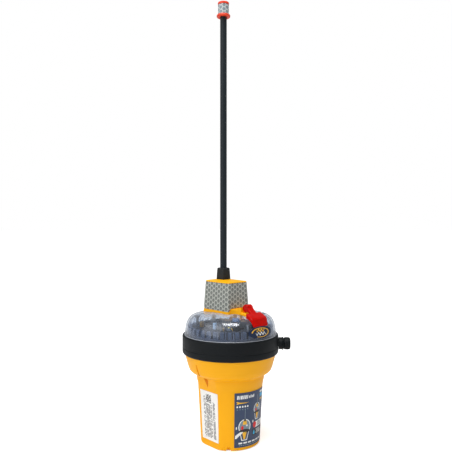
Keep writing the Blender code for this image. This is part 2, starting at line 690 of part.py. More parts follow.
def light_ring():
    """Ring with 36 teeth: two of every three top faces of a spun ring are drawn upwards."""
    sectors, low, notch, high = 108, 126.4, 133.0, 141.5
    inner, outer = 47.2, 50.6
    bm = bmesh.new()
    corners = [(inner, low), (outer, low), (outer, notch), (inner, notch)]
    verts = [bm.verts.new((r, 0, z)) for r, z in corners]
    edges = [bm.edges.new((verts[i], verts[(i + 1) % 4])) for i in range(4)]
    bmesh.ops.spin(bm, geom=verts + edges, cent=(0, 0, 0), axis=(0, 0, 1),
                   angle=2 * math.pi, steps=sectors, use_merge=True)
    bmesh.ops.remove_doubles(bm, verts=bm.verts, dist=0.001)
    teeth = []
    for face in bm.faces:
        middle = face.calc_center_median()
        sector = int(math.degrees(math.atan2(middle.y, middle.x)) % 360 / (360 / sectors))
        if abs(middle.z - notch) < 0.01 and sector % 3 != 0:
            teeth.append(face)
    raised = bmesh.ops.extrude_face_region(bm, geom=teeth)["geom"]
    tops = [item for item in raised if isinstance(item, bmesh.types.BMVert)]
    bmesh.ops.translate(bm, vec=(0, 0, high - notch), verts=tops)
    bmesh.ops.delete(bm, geom=teeth, context="FACES_ONLY")
    place("light_ring", finished_mesh("light_ring", bm), "ring_blue_grey")


def chassis():
    plate = [(5.5, DECK_Z), (46.0, DECK_Z), (46.5, DECK_Z - 0.6), (46.5, 126.1), (54.2, 125.9)]
    plate += [(54.2, 124.0), (44.5, 124.0), (44.5, DECK_Z - 2.0), (5.5, DECK_Z - 2.0)]
    deck = turned("upper_chassis", plate, "deck_grey", ring=True)
    for i in range(1, len(SCREWS) + 1):
        boolean(deck, bpy.data.objects[f"screw_bore_{i}"])


def deck_pieces():
    for i, turn in enumerate((45, 135, 225, 315), 1):
        x = 40.0 * math.sin(math.radians(turn))
        y = 40.0 * math.cos(math.radians(turn))
        lamp = [(0, 4.0), (1.6, 3.7), (2.6, 2.6), (2.6, 1.8), (3.6, 1.8), (3.6, GAP), (0, GAP)]
        turned(f"strobe_led_{i}", lamp, "led_amber", steps=12, at=(x, y, DECK_Z))
    pipe = [(0, 8.0), (1.8, 8.0), (2.4, 7.4), (2.4, GAP), (0, GAP)]
    turned("status_light", pipe, "pale_blue", steps=12, at=(-34.0, -10.0, DECK_Z))
    coil_x, coil_y, coil_r, rise = -37.5, 10.0, 2.2, 1.3
    turns, per_turn = 5, 8
    route = []
    for k in range(turns * per_turn + 1):
        a = 2 * math.pi * k / per_turn
        x = coil_x + coil_r * math.cos(a)
        y = coil_y + coil_r * math.sin(a)
        route.append((x, y, DECK_Z + 0.9 + rise * k / per_turn))
    wire("homing_coil", route, 0.4, "brass")


def board_pieces():
    low = BOARD_Z
    top = low + 1.6 + GAP
    rod("main_circuit_board", 43.0, low, low + 1.6, "board_green", steps=32)
    box("radio_shield", (-20, -30, top), (16, -4, top + 7), "steel", round_edge=0.6)
    box("oscillator_can", (-22, 4, top), (-2, 24, top + 10), "steel", round_edge=0.6)
    sounder = [(0, 5.0), (2.0, 5.0), (2.0, 7.0), (7.2, 7.0), (7.8, 6.4), (7.8, 0), (0, 0)]
    turned("buzzer", sounder, "dark_plastic", steps=14, at=(14, 16, top))


def tower_pieces():
    board = [rounded_rectangle(10.6, 18.5, 2.0, z, (0, 8.0), 2) for z in (183.4, 185.0)]
    plate = loft("antenna_board", board, "board_green")
    boolean(plate, rod("board_bore", 3.6, 170, 188.0, steps=12, at=(0, WHIP_Y, 0)))
    box("gnss_antenna", (-7.5, -9.5, 185.3), (7.5, 4.5, 189.3), "ceramic", round_edge=0.4)


def battery():
    tray = [rounded_rectangle(27.4, 27.4, 14.0, z) for z in (3.4, 6.2)]
    loft("battery_tray", tray, "dark_plastic")
    cell = [(0, 58.0), (3.2, 58.0), (3.2, 56.6), (12.0, 56.6), (12.8, 55.8)]
    cell += [(12.8, 7.2), (12.2, 6.6), (0, 6.6)]
    centres = [(x, y) for x in (-CELL_AT, CELL_AT) for y in (-CELL_AT, CELL_AT)]
    for i, (x, y) in enumerate(centres, 1):
        turned(f"battery_cell_{i}", cell, "cell_wrap", steps=16, at=(x, y, 0))
    plate = [rounded_rectangle(27.0, 27.0, 13.0, z) for z in (58.4, 60.0)]
    loft("battery_contact_plate", plate, "board_green")
    low, high = 61.2, BOARD_Z - 1.2
    leads = (("battery_lead_positive", -6.0, "lead_red"), ("battery_lead_negative", 6.0, "dark_plastic"))
    for name, start_x, finish in leads:
        route = []
        for t in (k / 8 for k in range(9)):
            x = start_x + 5.0 * math.sin(math.pi * t)
            y = 8.0 * math.sin(2 * math.pi * t)
            route.append((x, y, low + t * (high - low)))
        wire(name, route, 1.1, finish)


clear_scene()
PARTS = new_collection("emergency_position_beacon")
CUTTERS = new_collection("cutters", hidden=True)
lower_housing()
collar()
labels()
dome()
badge()
buttons()
hinge_bore = antenna_tower()
reflective_sheet()
red_cover(hinge_bore)
whip()
light_ring()
chassis()
deck_pieces()
board_pieces()
tower_pieces()
battery()
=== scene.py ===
"""Looks of the emergency position beacon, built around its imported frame.

Shapes are in millimetres and become metres as their meshes are made. The origin is at the centre
of the base, +Z is up, and the front (red cover, badge and front label) faces -Y.
"""
import json
import math

import bmesh
import bpy
from mathutils import Matrix, Vector

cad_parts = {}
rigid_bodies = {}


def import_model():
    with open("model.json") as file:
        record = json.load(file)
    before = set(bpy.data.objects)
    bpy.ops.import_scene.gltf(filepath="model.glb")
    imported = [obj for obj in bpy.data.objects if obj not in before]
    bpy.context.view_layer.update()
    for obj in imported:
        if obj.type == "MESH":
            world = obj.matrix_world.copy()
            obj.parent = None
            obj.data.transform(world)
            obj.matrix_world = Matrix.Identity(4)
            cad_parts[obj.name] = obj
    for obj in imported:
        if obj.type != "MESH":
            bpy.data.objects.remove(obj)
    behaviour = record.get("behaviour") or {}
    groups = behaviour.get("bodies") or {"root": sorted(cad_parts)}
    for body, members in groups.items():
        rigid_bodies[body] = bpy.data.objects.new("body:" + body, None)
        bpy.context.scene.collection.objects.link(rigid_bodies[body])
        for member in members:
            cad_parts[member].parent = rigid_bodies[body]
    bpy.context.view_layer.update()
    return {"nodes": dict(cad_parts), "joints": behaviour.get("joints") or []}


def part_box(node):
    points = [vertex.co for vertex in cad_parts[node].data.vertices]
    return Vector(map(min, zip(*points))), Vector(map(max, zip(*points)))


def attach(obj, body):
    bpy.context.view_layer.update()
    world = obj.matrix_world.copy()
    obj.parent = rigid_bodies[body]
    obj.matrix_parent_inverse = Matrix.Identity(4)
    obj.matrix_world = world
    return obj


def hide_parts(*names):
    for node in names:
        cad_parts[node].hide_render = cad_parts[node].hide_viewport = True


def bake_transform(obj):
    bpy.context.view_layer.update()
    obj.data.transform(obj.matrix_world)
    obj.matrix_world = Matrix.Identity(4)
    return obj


for startup in list(bpy.data.objects):
    bpy.data.objects.remove(startup, do_unlink=True)
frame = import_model()

MM = 0.001
MAIN = "beacon"


def mm_box(node):
    """Lowest and highest corner of a frame node in millimetres."""
    low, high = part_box(node)
    return low / MM, high / MM

def middle(node):
    """(x, y) at the middle of a frame node in millimetres."""
    low, high = mm_box(node)
    return (low.x + high.x) / 2, (low.y + high.y) / 2

COLLAR_LOW, COLLAR_HIGH = mm_box("collar_ring")
HOUSING_TOP = mm_box("lower_housing")[1]
RING_LOW, RING_HIGH = mm_box("light_ring")
SHEET_LOW, SHEET_HIGH = mm_box("tower_reflective_sheet")
BOOT_LOW, BOOT_HIGH = mm_box("antenna_boot")
CAP_LOW, CAP_HIGH = mm_box("tip_cap")
BAND_LOW, BAND_HIGH = mm_box("tip_reflective_band")
LABEL_LOW, LABEL_HIGH = mm_box("front_label")
SIDE_LOW, SIDE_HIGH = mm_box("side_label")
BADGE_LOW, BADGE_HIGH = mm_box("front_badge")
DECK_Z = mm_box("upper_chassis")[1].z
TOWER_TOP = mm_box("antenna_tower")[1].z
PIN_LOW, PIN_HIGH = mm_box("hinge_pin")
HINGE_Y, HINGE_Z = (PIN_LOW.y + PIN_HIGH.y) / 2, (PIN_LOW.z + PIN_HIGH.z) / 2
WHIP_Y = middle("antenna_boot")[1]
WHIP_R = mm_box("whip_link_1")[1].x

# Housing profile, which the frame's solid follows: waist, step and flared shoulder
WALL = 2.4
STEP_Z, STEP_R = 83.5, 42.0
POCKET_POINT, POCKET_HALF = 70.8, 5.0
SLOT_LOW, SLOT_HIGH = 87.2, 101.0
FLAT_X, FLAT_Z, FLAT_LEAN = 33.9, 38.0, math.radians(2.7)
FLAT_STRAIGHT_Z, FLAT_FLARE = 58.0, 3.3
TOWER_Y = 8.0
TEETH = 36
SHEET_CELL, BAND_CELL = 4.7, 3.9    # between columns of the reflective films' cells
UP = Vector((0, 0, 1))


# ---------------------------------------------------------------- outlines

def bend(start, corner, end, steps):
    """A quadratic curve between two points, without its ends."""
    start, corner, end = Vector(start), Vector(corner), Vector(end)
    stations = [i / steps for i in range(1, steps)]
    return [tuple(start.lerp(corner, t).lerp(corner.lerp(end, t), t)) for t in stations]


def fillet(outline, radius, steps=4, closed=False):
    """The outline with its corners rounded; its ends stay sharp unless it is closed."""
    points = [Vector(p) for p in outline]
    count = len(points)
    rounded = []
    for i, point in enumerate(points):
        if not closed and i in (0, count - 1):
            rounded.append(tuple(point))
            continue
        before, after = points[i - 1] - point, points[(i + 1) % count] - point
        reach = min(radius, 0.45 * before.length, 0.45 * after.length)
        if before.angle(after, math.pi) > math.radians(172) or reach < 0.02:
            rounded.append(tuple(point))
            continue
        start, end = point + before.normalized() * reach, point + after.normalized() * reach
        rounded += [tuple(start)] + bend(start, point, end, steps) + [tuple(end)]
    return rounded


def dense(outline, spacing):
    """The outline with extra points, so that none are further apart than the spacing at each height."""
    filled = []
    for a, b in zip(outline, outline[1:]):
        steps = max(1, math.ceil((Vector(b) - Vector(a)).length / spacing((a[1] + b[1]) / 2)))
        filled += [tuple(Vector(a).lerp(Vector(b), i / steps)) for i in range(steps)]
    return filled + [tuple(outline[-1])]


def radius_at(outline, z):
    """Radius of an outline of (radius, height) points at a height."""
    for (r0, z0), (r1, z1) in zip(outline, outline[1:]):
        if min(z0, z1) <= z <= max(z0, z1) and z0 != z1:
            return r0 + (r1 - r0) * (z - z0) / (z1 - z0)
    return outline[-1][0]


def inset(outline, distance):
    """The outline moved inwards along its own normals; it runs from the crown outwards and down."""
    points = [Vector(p) for p in outline]
    moved = []
    for i, point in enumerate(points):
        along = points[min(i + 1, len(points) - 1)] - points[max(i - 1, 0)]
        moved.append(tuple(point + Vector((along.y, -along.x)).normalized() * distance))
    return moved


def rounded_rectangle(half_x, half_y, corner, z, centre=(0.0, 0.0), steps=8):
    ring = []
    for quarter, (sx, sy) in enumerate(((1, 1), (-1, 1), (-1, -1), (1, -1))):
        for i in range(steps + 1):
            turn = math.radians(90 * quarter + 90 * i / steps)
            x = centre[0] + sx * (half_x - corner) + corner * math.cos(turn)
            y = centre[1] + sy * (half_y - corner) + corner * math.sin(turn)
            ring.append((x, y, z))
    return ring


# ---------------------------------------------------------------- meshes

def mesh_of(name, verts, faces, uvs=None):
    """A mesh in metres with its faces pointing out; uvs holds one point in millimetres for each vertex."""
    mesh = bpy.data.meshes.new(name)
    mesh.from_pydata([Vector(v) * MM for v in verts], [], faces)
    bm = bmesh.new()
    bm.from_mesh(mesh)
    bmesh.ops.recalc_face_normals(bm, faces=bm.faces)
    if uvs:
        layer = bm.loops.layers.uv.new("surface")
        for face in bm.faces:
            for loop in face.loops:
                loop[layer].uv = uvs[loop.vert.index]
        bmesh.ops.remove_doubles(bm, verts=bm.verts, dist=1e-6)
    bm.to_mesh(mesh)
    bm.free()
    return mesh


def link(name, data):
    """A new object in the scene."""
    obj = bpy.data.objects.new(name, data)
    bpy.context.scene.collection.objects.link(obj)
    return obj


def piece(name, shape, paint, slot=None, body=MAIN, replaces=(), sharp=35):
    """Shows a mesh, or a (verts, faces) shape, as a piece of the object that moves with a body."""
    mesh = mesh_of(name, *shape) if isinstance(shape, tuple) else shape
    slot = slot or paint
    obj = link(name, mesh)
    mesh.materials.append(PAINTS[paint])
    mesh.shade_smooth()
    mesh.set_sharp_from_angle(angle=math.radians(sharp))
    if body:
        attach(obj, body)
    if replaces:
        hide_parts(*replaces)
    return obj

def joined(parts):
    """One mesh's vertices and faces from several (verts, faces) pairs."""
    verts, faces = [], []
    for part_verts, part_faces in parts:
        faces += [[i + len(verts) for i in face] for face in part_faces]
        verts += part_verts
    return verts, faces


def moved(part, matrix):
    verts, faces = part
    return [tuple(matrix @ Vector(v)) for v in verts], faces


def lathe(outline, segments=96, ring=False):
    """A profile (radius, height) turned about Z."""
    verts, faces, rows = [], [], []
    for r, z in outline:
        count = 1 if r < 1e-6 else segments
        rows.append(range(len(verts), len(verts) + count))
        turns = [2 * math.pi * i / segments for i in range(count)]
        verts += [(r * math.cos(a), r * math.sin(a), z) for a in turns]
    pairs = list(zip(rows, rows[1:])) + ([(rows[-1], rows[0])] if ring else [])
    for a, b in pairs:
        for i in range(segments):
            j = (i + 1) % segments
            quad = (a[i % len(a)], a[j % len(a)], b[j % len(b)], b[i % len(b)])
            face = list(dict.fromkeys(quad))
            if len(face) > 2:
                faces.append(face)
    return verts, faces


def rod_outline(radius, low, high):
    return [(0, high), (radius, high), (radius, low), (0, low)]


def rod(radius, low, high, segments):
    return lathe(rod_outline(radius, low, high), segments)


def loft(rings):
    """A closed solid through rings of equal point count, with flat ends."""
    count = len(rings[0])
    verts = [tuple(p) for ring in rings for p in ring]
    faces = [list(range(count)), list(range(len(verts) - count, len(verts)))]
    for row in range(len(rings) - 1):
        for i in range(count):
            j = (i + 1) % count
            a, b = row * count, (row + 1) * count
            faces.append([a + i, a + j, b + j, b + i])
    return verts, faces


def block(low, high, edge=0.4):
    """A box with softened edges."""
    centre = [(a + b) / 2 for a, b in zip(low, high)]
    half = [(b - a) / 2 for a, b in zip(low, high)]
    rings = []
    for z, shrink in ((low[2], edge), (low[2] + edge, 0), (high[2] - edge, 0), (high[2], edge)):
        rings.append(rounded_rectangle(half[0] - shrink, half[1] - shrink, edge * 1.2, z, centre, 3))
    return loft(rings)


def from_front(r, turn, z):
    """The point at a radius and height whose direction is a turn away from the front."""
    return (r * math.sin(turn), -r * math.cos(turn), z)


def radial(point):
    """Straight out from the middle axis."""
    return Vector((point.x, point.y, 0)).normalized()


def layered(inner, outer, wrapped=False):
    """A closed thin solid between two grids of points; a wrapped one meets itself at its sides."""
    rows, columns = len(inner), len(inner[0])
    size = rows * columns
    verts = [tuple(p) for grid in (inner, outer) for row in grid for p in row]
    faces = []
    for r in range(rows - 1):
        for a in range(r * columns, (r + 1) * columns - 1):
            quad = [a, a + 1, a + columns + 1, a + columns]
            faces += [quad, [size + i for i in reversed(quad)]]
    edges = [range(columns), range(size - columns, size)]
    if not wrapped:
        edges += [range(0, size, columns), range(columns - 1, size, columns)]
    for edge in edges:
        faces += [[i, j, size + j, size + i] for i, j in zip(edge, edge[1:])]
    return verts, faces


def sheet_solid(grid, thickness, out=radial):
    """A grid of points made a closed thin solid; out(point) is the unit direction of its outside."""
    grid = [[Vector(p) for p in row] for row in grid]
    return layered(grid, [[p + Vector(out(p)) * thickness for p in row] for row in grid])


def carved(base, joins, cuts):
    """The mesh of a shape with others joined to it and then others cut away."""
    target = link("carved", mesh_of("carved", *base))
    for operation, shapes in (("UNION", joins), ("DIFFERENCE", cuts)):
        others = [link("helper", mesh_of("helper", *shape)) for shape in shapes]
        for other in others:
            modifier = target.modifiers.new(operation.lower(), "BOOLEAN")
            modifier.operation, modifier.solver, modifier.object = operation, "EXACT", other
        graph = bpy.context.evaluated_depsgraph_get()
        made = bpy.data.meshes.new_from_object(target.evaluated_get(graph))
        target.modifiers.clear()
        target.data = made
        for other in others:
            bpy.data.objects.remove(other, do_unlink=True)
    mesh = target.data
    bpy.data.objects.remove(target, do_unlink=True)
    mesh.materials.clear()
    return mesh

def at(x, y, z, turn=None):
    """A placing matrix in millimetres; turn is an optional rotation matrix."""
    return Matrix.Translation((x, y, z)) @ (turn or Matrix.Identity(4))


# ---------------------------------------------------------------- materials

def srgb(red, green, blue):
    """A display colour, 0 to 255, as a linear one."""
    def linear(c):
        return c / 255 / 12.92 if c <= 10 else ((c / 255 + 0.055) / 1.055) ** 2.4

    return (linear(red), linear(green), linear(blue), 1.0)


def scaled(colour, factor):
    return (*[min(1.0, c * factor) for c in colour[:3]], 1.0)


class Value:
    """A number that shader nodes work out over a surface; sums and comparisons of it add nodes."""

    def __init__(self, tree, socket):
        self.tree, self.socket = tree, socket

    def maths(self, operation, *others, clamp=False):
        inputs = dict(enumerate((self, *others)))
        return add(self.tree, "Math", inputs, operation=operation, use_clamp=clamp)

    def mix(self, first, second):
        """The first colour where this is 0 and the second where it is 1."""
        return add(self.tree, "Mix", {0: self, 6: first, 7: second}, 2, data_type="RGBA")

    def ramp(self, low, high, to_low=0.0, to_high=1.0, smooth=False):
        return add(self.tree, "MapRange", {0: self, 1: low, 2: high, 3: to_low, 4: to_high},
                   interpolation_type="SMOOTHSTEP" if smooth else "LINEAR")

    def bump(self, depth_mm):
        return add(self.tree, "Bump", {"Height": self, "Strength": 1.0, "Distance": depth_mm * MM})


OPERATORS = {"add": "ADD", "sub": "SUBTRACT", "mul": "MULTIPLY", "truediv": "DIVIDE", "pow": "POWER",
             "mod": "FLOORED_MODULO", "lt": "LESS_THAN", "gt": "GREATER_THAN", "abs": "ABSOLUTE"}
for sign, meaning in OPERATORS.items():
    setattr(Value, f"__{sign}__", lambda self, *others, how=meaning: self.maths(how, *others))


def feed(tree, socket, value):
    """Links a worked-out value to a socket, or sets the socket to a constant."""
    if isinstance(value, Value):
        tree.links.new(value.socket, socket)
    else:
        socket.default_value = value


def add(tree, kind, inputs=None, output=0, **settings):
    """A shader node with its inputs set or linked; gives one of its outputs."""
    made = tree.nodes.new("ShaderNode" + kind)
    for key, value in settings.items():
        setattr(made, key, value)
    for key, value in (inputs or {}).items():
        feed(tree, made.inputs[key], value)
    return Value(tree, made.outputs[output])


class Paint:
    """A new material and what shades it."""

    def __init__(self, name):
        self.made = bpy.data.materials.new(name)
        self.made.use_nodes = True
        self.tree = self.made.node_tree
        self.shader = self.tree.nodes["Principled BSDF"]

    def add(self, kind, inputs=None, output=0, **settings):
        return add(self.tree, kind, inputs, output, **settings)

    def place(self):
        return self.add("TexCoord", output=3)

    def noise(self, size_mm, detail=2.0, stretch=(1, 1, 1)):
        """Noise whose features are about size_mm across; stretch packs them closer along an axis."""
        where = self.add("Mapping", {"Vector": self.place(), "Scale": stretch})
        return self.add("TexNoise", {"Vector": where, "Scale": 1.0 / (size_mm * MM), "Detail": detail})

    def split(self, vector):
        return [self.add("SeparateXYZ", {0: vector}, i) for i in range(3)]

    def surface(self):
        """(u, v) in millimetres along a sheet, from its surface map."""
        return self.split(self.add("UVMap", uv_map="surface"))[:2]

    def finish(self, colour, roughness, normal=None, **fixed):
        """Links what varies over the surface and sets what doesn't on the shader itself."""
        for name, value in (("Base Color", colour), ("Roughness", roughness), ("Normal", normal)):
            if value is not None:
                feed(self.tree, self.shader.inputs[name], value)
        for key, value in fixed.items():
            self.shader.inputs[key.replace("_", " ")].default_value = value
        return self.made

    def show_over(self, share, behind):
        """Shows the shader, by its share, over another one."""
        own = Value(self.tree, self.shader.outputs[0])
        shown = self.add("MixShader", {0: share, 1: behind, 2: own})
        feed(self.tree, self.tree.nodes["Material Output"].inputs["Surface"], shown)
        return self.made


def moulded(name, colour, roughness, grain=0.012, grain_mm=0.45, drift=0.05, scuffs=0.0, specular=0.5,
            coat=0.0, painted_shade=None):
    """Moulded plastic or rubber: fine grain, slow colour drift, uneven gloss and light scuffs; an optional
    darker colour is painted shade in the housing's slots and pockets.
    """
    paint = Paint(name)
    shade = paint.noise(34.0, 3.0).mix(scaled(colour, 1 - drift), scaled(colour, 1 + drift))
    gloss = paint.noise(7.0, 4.0).ramp(0.3, 0.7, roughness - 0.05, roughness + 0.06)
    if scuffs:
        marks = paint.noise(0.9, 5.0, (1.0, 1.0, 9.0)).ramp(0.66, 0.74, 0.0, scuffs)
        shade = marks.mix(shade, scaled(colour, 1.6))
        gloss = gloss + marks * 0.3
    # painted shade: the recesses get a darker colour that stands in for the shadow inside them
    if painted_shade:
        shade = painted_shade_mask(paint).mix(shade, painted_shade)
    grain_bump = paint.noise(grain_mm).bump(grain)
    return paint.finish(shade, gloss, grain_bump, Specular_IOR_Level=specular, Coat_Weight=coat)


def painted_shade_mask(paint):
    """1 inside the shoulder slots and on the rear half of the pockets, where the yellow is darkened as painted
    shade.
    """
    across, along, height = paint.split(paint.place())
    slot = abs(along) < height.ramp(SLOT_LOW * MM, SLOT_HIGH * MM, 1.35 * MM, 0.6 * MM)
    slot *= (height > (SLOT_LOW + 0.2) * MM) * (height < (SLOT_HIGH - 0.2) * MM)
    pocket = along < height.ramp(POCKET_POINT * MM, STEP_Z * MM, 0.0, (POCKET_HALF - 0.1) * MM)
    pocket *= (along > 0.0) * (height < STEP_Z * MM)
    return (abs(across) > 30 * MM) * slot.maths("MAXIMUM", pocket)


def metal(name, colour, roughness, stretch=(1, 1, 1)):
    """Brushed or tumbled metal with faint tarnish."""
    paint = Paint(name)
    streaks = paint.noise(0.35, 4.0, stretch)
    shade = paint.noise(5.0, 3.0).ramp(0.35, 0.75).mix(colour, scaled(colour, 0.72))
    gloss = streaks.ramp(0.3, 0.7, roughness - 0.08, roughness + 0.12)
    return paint.finish(shade, gloss, streaks.bump(0.01), Metallic=1.0)


def hexagon(u, v, column, row):
    """(0 at a cell's centre to 1 at its edge, height in the cell) for one of two nested lattices."""
    x, y = abs(u % (2 * column) - column), v % row - row / 2
    reach = (column ** 2 + row ** 2 / 4) / 2
    slanted = x * (column / reach) + abs(y) * (row / 2 / reach)
    return slanted.maths("MAXIMUM", abs(y) / (row / 2)), y


def reflective_film(name, column, row, network, cell, dark):
    """Prismatic reflective film: a pale network round hexagonal cells with cup-shaped shadows."""
    paint = Paint(name)
    u, v = paint.surface()
    first, first_y = hexagon(u, v, column, row)
    second, second_y = hexagon(u + column, v + row / 2, column, row)
    height = paint.add("Mix", {0: second < first, 2: first_y, 3: second_y}, data_type="FLOAT")
    ragged = paint.noise(0.8) * 0.16 + first.maths("MINIMUM", second)
    line = ragged.ramp(0.78, 0.92, smooth=True)
    rim = ragged.ramp(0.40, 0.56, smooth=True) * ragged.ramp(0.86, 0.74, smooth=True)
    cup = rim * height.ramp(-0.2 * row, 0.22 * row, 0.25, 1.0)
    ground = paint.noise(0.5, 3.0).ramp(0.3, 0.7).mix(scaled(cell, 0.86), scaled(cell, 1.14))
    colour = line.mix(cup.mix(ground, dark), network)
    return paint.finish(colour, line.ramp(0.0, 1.0, 0.24, 0.42), line.bump(0.06),
                        Coat_Weight=0.25, Coat_Roughness=0.12)


def clear_shell(name, tint, haze, facing_haze, body):
    """Thin clear plastic: a straight-through view, gloss that grows at glancing angles, faint haze."""
    paint = Paint(name)
    facing = paint.add("LayerWeight", {"Blend": 0.5}, 1)
    mirror = (facing ** 4.0).maths("MULTIPLY_ADD", 0.72, 0.05, clamp=True)
    gloss = paint.add("BsdfGlossy", {"Color": (0.96, 0.97, 1.0, 1.0), "Roughness": 0.11})
    through = paint.add("BsdfTransparent", {"Color": tint})
    clear = paint.add("MixShader", {0: mirror, 1: through, 2: gloss})
    smears = paint.noise(12.0, 4.0).ramp(0.3, 0.7, 0.75, 1.25)
    share = ((facing ** 2.2) * facing_haze + haze).maths("MULTIPLY", smears, clamp=True)
    paint.finish(body, smears.ramp(0.75, 1.25, 0.18, 0.32))
    return paint.show_over(share, clear)


def tinted_shell(name, colour, tint, cover_share):
    """Translucent coloured plastic: part of the light goes through, and the rest shows its colour."""
    paint = Paint(name)
    thick = paint.noise(4.0).ramp(0.3, 0.7, cover_share - 0.05, cover_share + 0.05)
    facing = paint.add("LayerWeight", {"Blend": 0.5}, 1)
    share = (facing ** 3.0).maths("MULTIPLY_ADD", 0.2, thick, clamp=True)
    shade = paint.noise(11.0).mix(scaled(colour, 0.9), scaled(colour, 1.06))
    paint.finish(shade, paint.noise(3.0, 3.0).ramp(0.3, 0.7, 0.14, 0.24), paint.noise(2.5).bump(0.02),
                 Specular_IOR_Level=0.25)
    return paint.show_over(share, paint.add("BsdfTransparent", {"Color": tint}))


def board_paint(name):
    """Green lacquered board with darker copper tracks under the lacquer and pale pads."""
    paint = Paint(name)
    tracks = paint.add("TexVoronoi", {"Vector": paint.place(), "Scale": 260.0}, feature="DISTANCE_TO_EDGE",
                       distance="EUCLIDEAN")
    pads = paint.add("TexVoronoi", {"Vector": paint.place(), "Scale": 420.0}, feature="F1")
    green = tracks.ramp(0.05, 0.09).mix(srgb(54, 120, 66), srgb(18, 82, 46))
    shade = pads.ramp(0.10, 0.07).mix(green, srgb(190, 176, 120))
    gloss = paint.noise(3.0).ramp(0.3, 0.7, 0.28, 0.42)
    return paint.finish(shade, gloss, tracks.bump(0.04), Coat_Weight=0.3)


def side_print(name):
    """White film with generic print: a speckled square and upright columns of fine grey dashes."""
    paint = Paint(name)
    u, v = paint.surface()

    def window(low_u, high_u, low_v, high_v):
        return (u > low_u) * (u < high_u) * (v > low_v) * (v < high_v)

    def speckle(cell_u, cell_v, share):
        cell = paint.add("CombineXYZ", {0: (u / cell_u).maths("FLOOR"), 1: (v / cell_v).maths("FLOOR")})
        return paint.add("TexWhiteNoise", {"Vector": cell}) < share

    ink = window(9.6, 19.0, 45.0, 55.0) * speckle(0.9, 0.9, 0.66)
    for *area, share in ((5.0, 8.8, 3.0, 52.0, 0.62), (9.6, 17.0, 3.5, 43.6, 0.80),
                         (17.6, 20.0, 5.0, 43.6, 0.70), (21.6, 25.4, 3.0, 47.0, 0.76)):
        dashes = (u % 1.35 < 0.95) * speckle(1.35, 1.1, share)
        ink = ink.maths("MAXIMUM", dashes * window(*area))
    paper = paint.noise(20.0).mix(srgb(238, 238, 236), srgb(250, 250, 248))
    shade = (ink * 0.9).mix(paper, srgb(44, 44, 48))
    return paint.finish(shade, 0.42, paint.noise(0.6).bump(0.004), Coat_Weight=0.2)


# Moulded finishes: display colour, roughness, then grain depth and size, drift, scuffs, specular, coat
MOULDED = {
    "collar_black": (15, 19, 22, 0.50, 0.02, 0.5, 0.10, 0.04, 0.16),
    "boot_black": (38, 40, 40, 0.55, 0.02, 0.4, 0.08, 0.04, 0.18),
    "whip_black": (28, 35, 40, 0.42, 0.015, 0.5, 0.10, 0.03, 0.22),
    # the next finish is the dome's flange lip, its pale colour a painted highlight for the bright line along
    # the lip
    "rim_painted_highlight": (196, 202, 212, 0.16, 0.004, 0.8, 0.05, 0, 0.8, 0.5),
    "lamp_clear": (96, 104, 116, 0.2, 0.004, 0.6, 0.1, 0, 0.5, 0.5),
    "tip_orange": (232, 66, 34, 0.36, 0.01, 0.5, 0.05, 0, 0.4),
    "label_navy": (46, 64, 96, 0.40, 0.003, 0.8, 0.04, 0, 0.4, 0.15),
    "badge_navy": (20, 36, 64, 0.34, 0.003, 0.8, 0.04, 0, 0.4),
    "label_white": (238, 240, 240, 0.42, 0.003, 0.8, 0.02),
    "print_yellow": (244, 186, 40, 0.42, 0.003, 0.8, 0.03),
    "print_grey": (120, 140, 152, 0.42, 0.003, 0.8, 0.10),
    "print_black": (22, 24, 30, 0.42, 0.003, 0.8, 0.05),
    "print_red": (214, 24, 24, 0.42, 0.003, 0.8, 0.05),
    "print_blue": (40, 176, 226, 0.42, 0.003, 0.8, 0.05),
    "seal_black": (20, 20, 20, 0.7, 0.02),
    "deck_grey": (46, 52, 64, 0.50, 0.03, 0.8, 0.14),
    "ring_blue_grey": (78, 92, 116, 0.34, 0.01, 0.6, 0.15),
    "dark_plastic": (34, 36, 40, 0.50, 0.02, 0.5, 0.12),
    "ceramic": (214, 206, 184, 0.55, 0.02, 0.6, 0.06),
    "cell_wrap": (52, 92, 150, 0.36, 0.01, 1.4, 0.08, 0, 0.5, 0.3),
    "lead_red": (190, 24, 24, 0.45, 0.01),
    "led_amber": (246, 226, 96, 0.2, 0.004, 0.45, 0.05, 0, 0.5, 0.6),
    "button_grey": (96, 66, 66, 0.45, 0.01),
    "pale_blue": (176, 206, 232, 0.22, 0.004, 0.6, 0.06, 0, 0.5, 0.5),
}


def make_paints():
    """Every finish; most are named after the record's slot that they belong to."""
    paints = {name: moulded(name, srgb(*row[:3]), *row[3:]) for name, row in MOULDED.items()}
    others = {
        # the housing yellow's last colour, srgb(222, 128, 4), is painted shade inside the shoulder slots and
        # the pockets' rear halves
        "housing_yellow": (moulded, srgb(252, 178, 10), 0.42, 0.010, 0.5, 0.03, 0, 0.2, 0,
                           srgb(222, 128, 4)),
        "clear_lens": (clear_shell, (0.90, 0.93, 0.97, 1), 0.02, 0.32, srgb(164, 170, 180)),
        "clear_ribs": (clear_shell, (0.80, 0.84, 0.92, 1), 0.22, 0.3, srgb(170, 182, 210)),
        "bezel_clear": (clear_shell, (0.78, 0.86, 0.96, 1), 0.35, 0.3, srgb(150, 178, 220)),
        "cover_red": (tinted_shell, srgb(224, 12, 0), (0.7, 0.02, 0.01, 1), 0.62),
        "reflective": (reflective_film, SHEET_CELL, 5.75, srgb(178, 180, 172), srgb(126, 130, 124),
                       srgb(84, 90, 88)),
        "reflective_tip": (reflective_film, BAND_CELL, 5.25, srgb(190, 196, 194), srgb(134, 146, 152),
                           srgb(116, 128, 136)),
        "side_print": (side_print,),
        "board_green": (board_paint,),
        "steel": (metal, srgb(196, 198, 202), 0.30, (1, 1, 6)),
        "brass": (metal, srgb(212, 170, 88), 0.26),
    }
    return paints | {name: make(name, *values) for name, (make, *values) in others.items()}

# ---------------------------------------------------------------- housing

